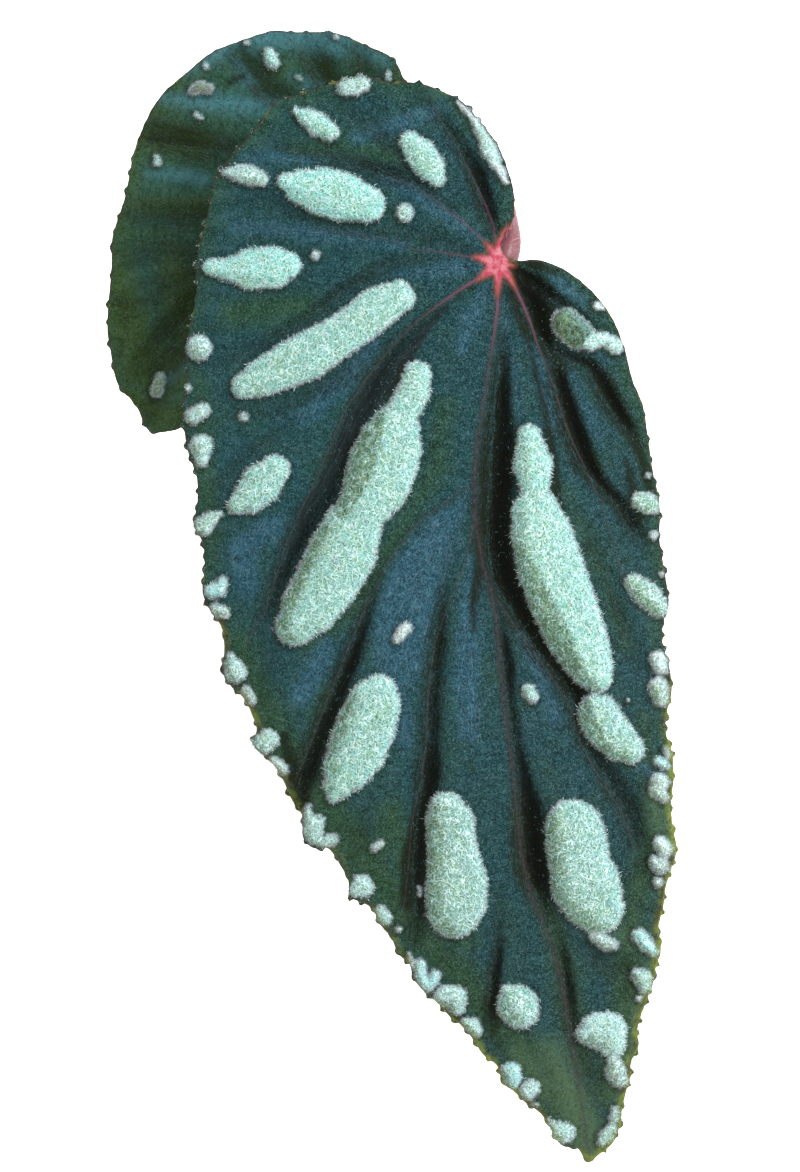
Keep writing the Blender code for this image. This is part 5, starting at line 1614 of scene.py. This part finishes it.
def hair_tree():
    """Curved tapering hairs on a surface, thicker where its weight is high."""
    tree, given = node_group("hairs", {
        "Density": "Float", "Weight": "String", "Length": "Float", "Width": "Float", "Rise": "Float",
        "Lean": "Float", "Curl": "Float", "Joints": "Int", "Seed": "Int", "Material": "Material",
    })
    spots, outwards = strewn(tree, given, named(tree, "FLOAT", given["Weight"]))
    values = {"Vertices": 3, "Side Segments": given["Joints"], "Radius Top": 0.3, "Radius Bottom": 1,
              "Depth": 1}
    cone = made(tree, "GeometryNodeMeshCone", values, "Mesh", fill_type="NONE")
    along = made(tree, "ShaderNodeSeparateXYZ", {0: made(tree, "GeometryNodeInputPosition")}, "Z")
    shift = made(tree, "ShaderNodeCombineXYZ", {"X": along * along * given["Curl"]})
    hair = made(tree, "GeometryNodeSetPosition", {"Geometry": cone, "Offset": shift})
    chance = random_value(tree, "FLOAT_VECTOR", (-1, -1, -1), (1, 1, 1), 11)
    lying = chance.vector("CROSS_PRODUCT", outwards).vector("NORMALIZE")
    rise = given["Rise"] * random_value(tree, "FLOAT", 0.5, 1.6, 15)
    lean = named(tree, "FLOAT_VECTOR", "lean").scaled(given["Lean"])
    aim = lying.vector("ADD", outwards.scaled(rise)).vector("ADD", lean)
    turn = made(tree, "FunctionNodeAlignRotationToVector", {"Vector": aim}, axis="Z")
    values = {"Axis": (0, 0, 1), "Angle": random_value(tree, "FLOAT", 0.0, 2 * math.pi, 12)}
    spin = made(tree, "FunctionNodeAxisAngleToRotation", values)
    values = {"Rotation": turn, "Rotate By": spin}
    turn = made(tree, "FunctionNodeRotateRotation", values, rotation_space="LOCAL")
    scale = named(tree, "FLOAT", "hair_scale") * random_value(tree, "FLOAT", 0.55, 1.25, 13)
    values = {"X": given["Width"], "Y": given["Width"], "Z": given["Length"] * scale}
    size = made(tree, "ShaderNodeCombineXYZ", values)
    return close_tree(tree, on_spots(tree, spots, hair, turn, size, 14), given["Material"])


def grain_tree():
    """Uneven grains that lie on a surface."""
    tree, given = node_group("grains", {
        "Density": "Float", "Size": "Float", "Flatness": "Float", "Unevenness": "Float", "Facets": "Int",
        "Seed": "Int", "Material": "Material",
    })
    spots, _ = strewn(tree, given, named(tree, "FLOAT", "bed"))
    ball = made(tree, "GeometryNodeMeshIcoSphere", {"Radius": 1, "Subdivisions": given["Facets"]}, "Mesh")
    low, high = (
        made(tree, "ShaderNodeVectorMath", {0: shape, "Scale": given["Size"]}, operation="SCALE")
        for shape in (SMALLEST_GRAIN, LARGEST_GRAIN)
    )
    flat = made(tree, "ShaderNodeCombineXYZ", {"X": 1, "Y": 1, "Z": given["Flatness"]})
    size = random_value(tree, "FLOAT_VECTOR", low, high, 21).vector("MULTIPLY", flat)
    turn = random_value(tree, "FLOAT_VECTOR", (-0.6, -0.6, 0), (0.6, 0.6, 2 * math.pi), 22)
    turn = made(tree, "FunctionNodeEulerToRotation", {0: turn})
    grains = on_spots(tree, spots, ball, turn, size, 23)
    lump = made(tree, "ShaderNodeTexNoise", {"Scale": 650, "Detail": 2}, "Color")
    offset = lump.vector("SUBTRACT", (0.5, 0.5, 0.5)).scaled(given["Unevenness"])
    moved = made(tree, "GeometryNodeSetPosition", {"Geometry": grains, "Offset": offset})
    return close_tree(tree, moved, given["Material"])


def hairs(name, mesh, seed, count, weight, length, width, form, finish):
    """Hairs on a mesh; their form is how steeply they rise, how far they lean, their curl and joints."""
    rise, lean, curl, joints = form
    return grow(name, mesh, bpy.data.node_groups.get("hairs") or hair_tree(), {
        "Density": count / MM ** 2, "Weight": weight, "Length": length, "Width": width, "Rise": rise,
        "Lean": lean, "Curl": curl, "Joints": joints, "Seed": seed, "Material": finish,
    })


def make_leaf(context, name, plan, palette, slot, replaced):
    """Makes one blade with its felt, its down and the bristles of its margin."""
    leaf = context.scene.begonia_leaf
    hair = context.scene.begonia_hair
    tones = context.scene.begonia_tones
    seed = plan["seed"]
    mesh = leaf_mesh(name, plan, leaf, tones)
    mesh.materials.append(LeafTop(name + "_top", palette, plan["crisp"], (leaf, hair, tones)).material)
    mesh.materials.append(leaf_under_material(name + "_underside", leaf))
    felt = pad_hair_material(hair, tones)
    tufts = hairs(name + "_pad_hairs", mesh, seed, hair.pad_count, "pad_hair", hair.pad_length,
                  hair.pad_width, PAD_HAIR_FORM, felt)
    dim = down_material(name + "_down", hair.down, hair.down_tip)
    down = hairs(name + "_down", mesh, seed + 1, hair.down_count, "down", hair.down_length, hair.down_width,
                 DOWN_FORM, dim)
    stiff = down_material(name + "_bristles", hair.bristle, hair.white)
    bristles = hairs(name + "_bristles", mesh, seed + 2, hair.bristle_count, "teeth", hair.bristle_length,
                     1.5 * hair.down_width, BRISTLE_FORM, stiff)
    keep(name, mesh, slot, replaced)
    keep(name + "_bristles", bristles, slot)
    keep(name + "_pad_hairs", tufts, slot)
    keep(name + "_down", down, slot)


class BEGONIA_OT_front_leaf(bpy.types.Operator):
    """Makes the large front leaf with its pads, folds, veins and hairs"""
    bl_idname = "begonia.front_leaf"
    bl_label = "Front leaf"

    def execute(self, context):
        leaf = context.scene.begonia_leaf
        palette = (leaf.deep, leaf.pale, leaf.blue, leaf.pale_sheen_grain, leaf.green, leaf.pale_green, leaf.fold)
        make_leaf(context, "front_leaf", FRONT, palette, "leaf_front", "blade_front")
        return {"FINISHED"}


class BEGONIA_OT_back_leaf(bpy.types.Operator):
    """Makes the smaller leaf behind it"""
    bl_idname = "begonia.back_leaf"
    bl_label = "Back leaf"

    def execute(self, context):
        leaf = context.scene.begonia_leaf
        palette = (leaf.back_deep, leaf.back_pale, leaf.back_sheen, leaf.back_sheen, leaf.back_green,
                   leaf.back_moss, leaf.back_shade)
        make_leaf(context, "back_leaf", BACK, palette, "leaf_back", "blade_back")
        return {"FINISHED"}


def sweep(name, route, radii, sides, ridges):
    """A closed tube along a route, with faint lengthwise ridges and its way round and along kept."""
    count = len(route)
    tangent = np.gradient(route, axis=0)
    tangent /= np.linalg.norm(tangent, axis=1)[:, None]
    turn = np.arange(sides) * 2 * math.pi / sides
    ridged = 1 + 0.03 * np.cos(ridges * turn)
    across = np.cross(tangent[0], (1, 0, 0))
    rows = []
    for place, ahead, radius in zip(route, tangent, radii):
        across = across - (across @ ahead) * ahead
        across /= np.linalg.norm(across)
        way = np.cos(turn)[:, None] * across + np.sin(turn)[:, None] * np.cross(ahead, across)
        rows.append(place + (radius * ridged)[:, None] * way)
    places = np.vstack(rows + [route[:1], route[-1:]])
    around = [(side, (side + 1) % sides) for side in range(sides)]
    last = (count - 1) * sides
    foot = count * sides
    faces = [(low + a, low + b, low + b + sides, low + a + sides)
             for low in range(0, last, sides) for a, b in around]
    faces += [(foot, b, a) for a, b in around]
    faces += [(foot + 1, last + a, last + b) for a, b in around]
    mesh = bpy.data.meshes.new(name)
    mesh.from_pydata(places * MM, [], faces)
    along = np.concatenate((np.repeat(np.linspace(0, 1, count), sides), (0, 1)))
    turns = np.concatenate((np.tile(np.arange(sides) / sides, count), (0, 0))) * 2 * math.pi
    store(mesh, "along", along)
    store(mesh, "round", np.stack((np.cos(turns), np.sin(turns), along * 60), axis=1))
    store(mesh, "hairy", step_up(along, 0.02, 0.1) * (1 - step_up(along, 0.93, 0.99)))
    store(mesh, "lean", np.zeros((len(places), 3)))
    store(mesh, "hair_scale", np.ones(len(places)))
    mesh.shade_smooth()
    return mesh


class BEGONIA_OT_stalks(bpy.types.Operator):
    """Makes both leaf stalks with their hairs"""
    bl_idname = "begonia.stalks"
    bl_label = "Stalks"

    def execute(self, context):
        stalk = context.scene.begonia_stalk
        hair = context.scene.begonia_hair
        skin = stalk_material(stalk)
        fuzz = down_material("stalk_hair", hair.red, FUZZ_TIP)
        stalks = (
            ("front_stalk", FRONT_STALK_ARC, FRONT_STALK_END, stalk.front_radius, "petiole_front"),
            ("back_stalk", BACK_STALK_ARC, BACK_STALK_END, stalk.back_radius, "petiole_back"),
        )
        for name, arc, end, radius, replaced in stalks:
            end = np.array(end)
            anchors = np.vstack((arc, on_sheet(end[:, :2], end[:, 2])))
            route = smooth_points(anchors, 0.7, False)
            share = np.linspace(0, 1, len(route))
            swell = 1 + 0.15 * (1 - step_up(share, 0, 0.3)) + 0.22 * step_up(share, 0.86, 0.97)
            close = np.sqrt(np.clip(1 - step_up(share, 0.965, 1.0) ** 2, 0.02, 1))
            radii = radius / MM * swell * close
            mesh = sweep(name, route, radii, 28, 7)
            mesh.materials.append(skin)
            coat = hairs(name + "_hairs", mesh, 5, hair.stalk_count, "hairy", hair.stalk_length,
                         hair.down_width, STALK_HAIR_FORM, fuzz)
            keep(name, mesh, "stalk", replaced)
            keep(name + "_hairs", coat, "stalk")
        return {"FINISHED"}


class BEGONIA_OT_rhizome(bpy.types.Operator):
    """Makes the short thick stem with its leaf scars and dry scales"""
    bl_idname = "begonia.rhizome"
    bl_label = "Rhizome"

    def execute(self, context):
        stalk = context.scene.begonia_stalk
        height = (RHIZOME_TOP - RHIZOME_FOOT).length
        turn = (RHIZOME_TOP - RHIZOME_FOOT).to_track_quat("Z", "Y")
        shape = bmesh.new()
        bmesh.ops.create_icosphere(shape, subdivisions=6, radius=1)
        marks = []
        for vertex in shape.verts:
            way = vertex.co.copy()
            level = (way.z + 1) / 2 * height
            widened = min(1, max(0, (level - CROWN_START) / CROWN_RISE))
            neck = RHIZOME_RADIUS + (CROWN_RADIUS - RHIZOME_RADIUS) * widened
            flat = math.sqrt(max(0, 1 - abs(way.z) ** 5))
            angle = math.atan2(way.y, way.x)
            mark = 0
            for where, at, size in SCARS:
                apart = (angle - where + math.pi) % (2 * math.pi) - math.pi
                gap = math.hypot(apart * neck, (level - at) * 1.3) / size
                mark = max(mark, math.exp(-((gap - 0.75) / 0.22) ** 2), 0.6 * (gap < 0.7))
            lump = noise.noise(way * 2.4) * 0.45 + noise.noise(way * 6) * 0.18
            ring = 0.14 * math.sin(level * 2.4 + noise.noise(way * 3) * 2)
            reach = (neck - 0.35 + lump + ring + 0.3 * mark) * flat * (flat > 0.001)
            place = Vector((math.cos(angle) * reach, math.sin(angle) * reach, level))
            vertex.co = (turn @ place + RHIZOME_FOOT) * MM
            marks.append(mark)
        mesh = bpy.data.meshes.new("rhizome_body")
        shape.to_mesh(mesh)
        shape.free()
        store(mesh, "scar", np.array(marks))
        mesh.shade_smooth()
        mesh.materials.append(rhizome_material(stalk))
        keep("rhizome_body", mesh, "rhizome", "rhizome")
        self.scales(stalk)
        return {"FINISHED"}

    def scales(self, stalk):
        """Dry papery scales at the foot of the stalks."""
        places, faces = [], []
        chance = np.random.default_rng(4)
        for foot, face, size in SCALES:
            base = len(places)
            for row in range(SCALE_ROWS):
                share = row / (SCALE_ROWS - 1)
                width = 0.34 * size * math.sin(math.pi * (0.28 + 0.72 * share)) ** 0.8 * (1 - share) ** 0.35
                lean = 0.3 + 0.9 * share ** 2
                for column in range(SCALE_COLUMNS):
                    side = column / 3 - 1
                    bow = 0.5 * width * (1 - side ** 2) + 0.12 * chance.uniform(-1, 1) * share
                    out = 2 + lean * 1.3 - width * 0.35 * (side ** 2) + 0.15 * bow
                    x = out * math.cos(face) - side * width * math.sin(face)
                    y = out * math.sin(face) + side * width * math.cos(face)
                    places.append((foot[0] + x, foot[1] + y, foot[2] - 2 + share * size))
                    if row and column:
                        here = base + row * SCALE_COLUMNS + column
                        faces.append((here - SCALE_COLUMNS - 1, here - SCALE_COLUMNS, here, here - 1))
        mesh = bpy.data.meshes.new("dry_scales")
        mesh.from_pydata(np.array(places) * MM, [], faces)
        mesh.materials.append(husk_material(stalk))
        mesh.shade_smooth()
        worker = linked("dry_scales", mesh)
        smoother = worker.modifiers.new("round", "SUBSURF")
        smoother.levels = smoother.render_levels = 2
        shell = worker.modifiers.new("thickness", "SOLIDIFY")
        shell.thickness = SCALE_THICKNESS * MM
        shell.offset = 0
        keep("dry_scales", plain_mesh(worker), "rhizome")


def turned(name, profile, steps):
    """A solid turned about Z from a profile of (radius, height) that ends on the axis."""
    mesh = bpy.data.meshes.new(name)
    places = [(radius * MM, 0, height * MM) for radius, height in profile]
    mesh.from_pydata(places, [(i, i + 1) for i in range(len(places) - 1)], [])
    worker = linked(name, mesh)
    screw = worker.modifiers.new("turn", "SCREW")
    screw.axis = "Z"
    screw.steps = screw.render_steps = steps
    screw.use_merge_vertices = True
    screw.merge_threshold = 0.00001
    screw.use_smooth_shade = True
    return worker


def rounded(corners, radius, steps=5):
    """A profile whose corners are rounded, apart from its two ends."""
    corners = [np.array(corner, float) for corner in corners]
    line = [corners[0]]
    for before, corner, after in zip(corners[:-2], corners[1:-1], corners[2:]):
        back = before - corner
        ahead = after - corner
        cut = min(radius, 0.45 * np.linalg.norm(back), 0.45 * np.linalg.norm(ahead))
        start = corner + back / np.linalg.norm(back) * cut
        end = corner + ahead / np.linalg.norm(ahead) * cut
        for share in np.linspace(0, 1, steps):
            line.append((1 - share) ** 2 * start + 2 * share * (1 - share) * corner + share ** 2 * end)
    line.append(corners[-1])
    return line


def filled_in(line, step):
    """The line with points added wherever two of them lie further apart than the step."""
    dense = [line[0]]
    for start, end in zip(line[:-1], line[1:]):
        count = max(1, math.ceil(np.linalg.norm(end - start) / step))
        dense += [start + (end - start) * (index + 1) / count for index in range(count)]
    return dense


def inner_radius(height):
    """Radius of the pot's inside at a height, in millimetres."""
    return INNER_FOOT + (INNER_TOP - INNER_FOOT) * (height - POT_FLOOR) / (INNER_HEIGHT - POT_FLOOR)


class BEGONIA_OT_pot(bpy.types.Operator):
    """Makes the clay pot with its rim band and drain holes"""
    bl_idname = "begonia.pot"
    bl_label = "Pot"

    def execute(self, context):
        pot = context.scene.begonia_pot
        height = pot.height / MM
        rim = pot.rim_radius / MM
        band = height - BAND_HEIGHT
        corners = (
            (0, POT_FLOOR), (inner_radius(POT_FLOOR), POT_FLOOR), (inner_radius(height), height),
            (rim, height), (rim - 0.7, band), (rim - 3.1, band - 0.2), (pot.base_radius / MM, 0), (0, 0),
        )
        worker = turned("clay_pot", filled_in(rounded(corners, CORNER_RADIUS), 2.2), POT_SIDES)
        cutters = []
        for index in range(DRAINS):
            turn = 2 * math.pi * (index + 0.25) / DRAINS
            place = (DRAIN_REACH * math.cos(turn) * MM, DRAIN_REACH * math.sin(turn) * MM, DRAIN_LEVEL * MM)
            bpy.ops.mesh.primitive_cylinder_add(
                vertices=40, radius=DRAIN_RADIUS * MM, depth=DRAIN_DEPTH * MM, location=place)
            cutters.append(bpy.context.object)
            cut = worker.modifiers.new(f"drain_{index}", "BOOLEAN")
            cut.object = cutters[-1]
            cut.solver = "EXACT"
        mesh = plain_mesh(worker)
        for cutter in cutters:
            bpy.data.objects.remove(cutter)
        for vertex in mesh.vertices:
            place = vertex.co / MM
            if place.z < 0.2:
                continue
            outwards = Vector((place.x, place.y, 0)).normalized()
            lump = noise.noise(place / 17) * 0.16 + noise.noise(Vector((0, 0, place.z * 0.9))) * 0.05
            vertex.co += outwards * lump * MM
        mesh.shade_smooth()
        mesh.set_sharp_from_angle(angle=math.radians(50))
        mesh.materials.clear()
        mesh.materials.append(clay_material(pot))
        keep("clay_pot", mesh, "clay", "pot")
        return {"FINISHED"}


class BEGONIA_OT_soil(bpy.types.Operator):
    """Makes the soil with its crumbs and white grains"""
    bl_idname = "begonia.soil"
    bl_label = "Soil"

    def execute(self, context):
        pot = context.scene.begonia_pot
        edge = inner_radius(SOIL_LEVEL) - 0.25
        profile = [(edge * index / SOIL_RINGS, SOIL_LEVEL) for index in range(SOIL_RINGS + 1)]
        profile += [(inner_radius(8) - 0.3, 8), (inner_radius(5) - 1, SOIL_FOOT), (0, SOIL_FOOT)]
        mesh = plain_mesh(turned("soil_bed", profile, SOIL_SIDES))
        bed = []
        for vertex in mesh.vertices:
            place = vertex.co / MM
            share = math.hypot(place.x, place.y) / edge
            on_top = place.z > SOIL_LEVEL - 0.1
            if on_top:
                lump = sum(noise.noise(place / size) * rise for size, rise in SOIL_LUMPS)
                vertex.co.z += (1.5 * (1 - share ** 2) + lump * (1 - share ** 8)) * MM
            bed.append(float(on_top and share * edge < edge - 1))
        store(mesh, "bed", np.array(bed))
        store(mesh, "dice", np.full(len(mesh.vertices), 0.3))
        mesh.materials.clear()
        mesh.materials.append(soil_material("soil_bed", pot))
        mesh.shade_smooth()
        crumbs = soil_material("soil_crumbs", pot)
        grit = perlite_material(pot)
        bark = husk_material(context.scene.begonia_stalk)
        # Grains on a square millimetre, their size, flatness, unevenness and facets
        heaps = (
            ("soil_crumbs", pot.crumb_count, pot.crumb, 0.8, 0.0011, 2, crumbs),
            ("soil_dust", 3 * pot.crumb_count, 0.42 * pot.crumb, 0.8, 0.0004, 1, crumbs),
            ("perlite", 0.03, 0.9 * pot.crumb, 0.85, 0.0011, 2, grit),
            ("bark_chips", 0.02, 2.1 * pot.crumb, 0.35, 0.0015, 2, bark),
        )
        tree = grain_tree()
        for seed, (name, count, size, flatness, uneven, facets, finish) in enumerate(heaps, 1):
            grains = grow(name, mesh, tree, {
                "Density": count / MM ** 2, "Size": size, "Flatness": flatness, "Unevenness": uneven,
                "Facets": facets, "Seed": seed, "Material": finish,
            })
            keep(name, grains, "soil")
        keep("soil_bed", mesh, "soil", "soil")
        return {"FINISHED"}


class BEGONIA_OT_stage(bpy.types.Operator):
    """Makes the floor, the light and the camera"""
    bl_idname = "begonia.stage"
    bl_label = "Stage"

    def execute(self, context):
        scene = context.scene
        stage = scene.begonia_stage
        mesh = bpy.data.meshes.new("floor")
        corners = [(x * FLOOR_SIDE, y * FLOOR_SIDE, 0) for x, y in ((-1, -1), (1, -1), (1, 1), (-1, 1))]
        mesh.from_pydata(corners, [], [range(4)])
        look = Finish("floor", 0.9, 0.1)
        look.set("Emission Color", stage.floor)
        look.set("Emission Strength", stage.glow)
        paper = look.speckle(3, 3).ramp(0.3, 0.7, 0, 0.04)
        mesh.materials.append(look.done(look.mix(paper, stage.floor, PAPER)))
        linked("floor", mesh)

        scene.world = bpy.data.worlds.new("studio")
        scene.world.use_nodes = True
        sky = scene.world.node_tree.nodes["Background"]
        sky.inputs["Color"].default_value = (1, 1, 1, 1)
        sky.inputs["Strength"].default_value = stage.sky

        aim = (SHEET_ZERO + VIEW_MIDDLE @ SHEET_AXES) * MM
        lamp = bpy.data.lights.new("key", "AREA")
        lamp.energy = stage.key
        lamp.size = stage.key_size
        light = linked("key", lamp)
        way = np.array(LAMP_SIDE) @ SHEET_AXES + LAMP_OUT * SHEET_OUT
        light.location = Vector(aim + LAMP_DISTANCE * way / np.linalg.norm(way))
        light.rotation_euler = (light.location - Vector(aim)).to_track_quat("Z", "Y").to_euler()

        eye = bpy.data.cameras.new("camera")
        eye.sensor_width = 36
        eye.lens = eye.sensor_width * VIEW_DISTANCE / VIEW_HEIGHT
        eye.clip_start = 0.05
        eye.clip_end = 20
        camera = linked("camera", eye)
        camera.location = Vector(aim + VIEW_DISTANCE * MM * SHEET_OUT)
        camera.rotation_euler = (math.pi / 2 - SHEET_TILT, 0, 0)
        scene.camera = camera
        scene.view_settings.view_transform = "Standard"
        return {"FINISHED"}


OPERATORS = (
    BEGONIA_OT_stage, BEGONIA_OT_front_leaf, BEGONIA_OT_back_leaf, BEGONIA_OT_stalks, BEGONIA_OT_rhizome,
    BEGONIA_OT_soil, BEGONIA_OT_pot,
)


class BEGONIA_PT_panel(bpy.types.Panel):
    """Lists the pieces and their sizes and colours"""
    bl_idname = "BEGONIA_PT_panel"
    bl_label = "Potted begonia"
    bl_space_type = "VIEW_3D"
    bl_region_type = "UI"
    bl_category = "Begonia"

    def draw(self, context):
        for operator in OPERATORS:
            self.layout.operator(operator.bl_idname)
        for name, group in SETTINGS.items():
            box = self.layout.box()
            box.label(text=group.__doc__.strip())
            settings = getattr(context.scene, name)
            for label in group.__annotations__:
                box.prop(settings, label)


def register():
    for kind in (*SETTINGS.values(), *OPERATORS, BEGONIA_PT_panel):
        bpy.utils.register_class(kind)
    for name, group in SETTINGS.items():
        setattr(bpy.types.Scene, name, bpy.props.PointerProperty(type=group))


def unregister():
    for name in SETTINGS:
        delattr(bpy.types.Scene, name)
    for kind in (BEGONIA_PT_panel, *reversed(OPERATORS), *reversed(SETTINGS.values())):
        bpy.utils.unregister_class(kind)


def main():
    register()
    bpy.ops.begonia.stage()
    bpy.ops.begonia.front_leaf()
    bpy.ops.begonia.back_leaf()
    bpy.ops.begonia.stalks()
    bpy.ops.begonia.rhizome()
    bpy.ops.begonia.soil()
    bpy.ops.begonia.pot()
    bpy.context.view_layer.update()


if __name__ == "__main__":
    main()
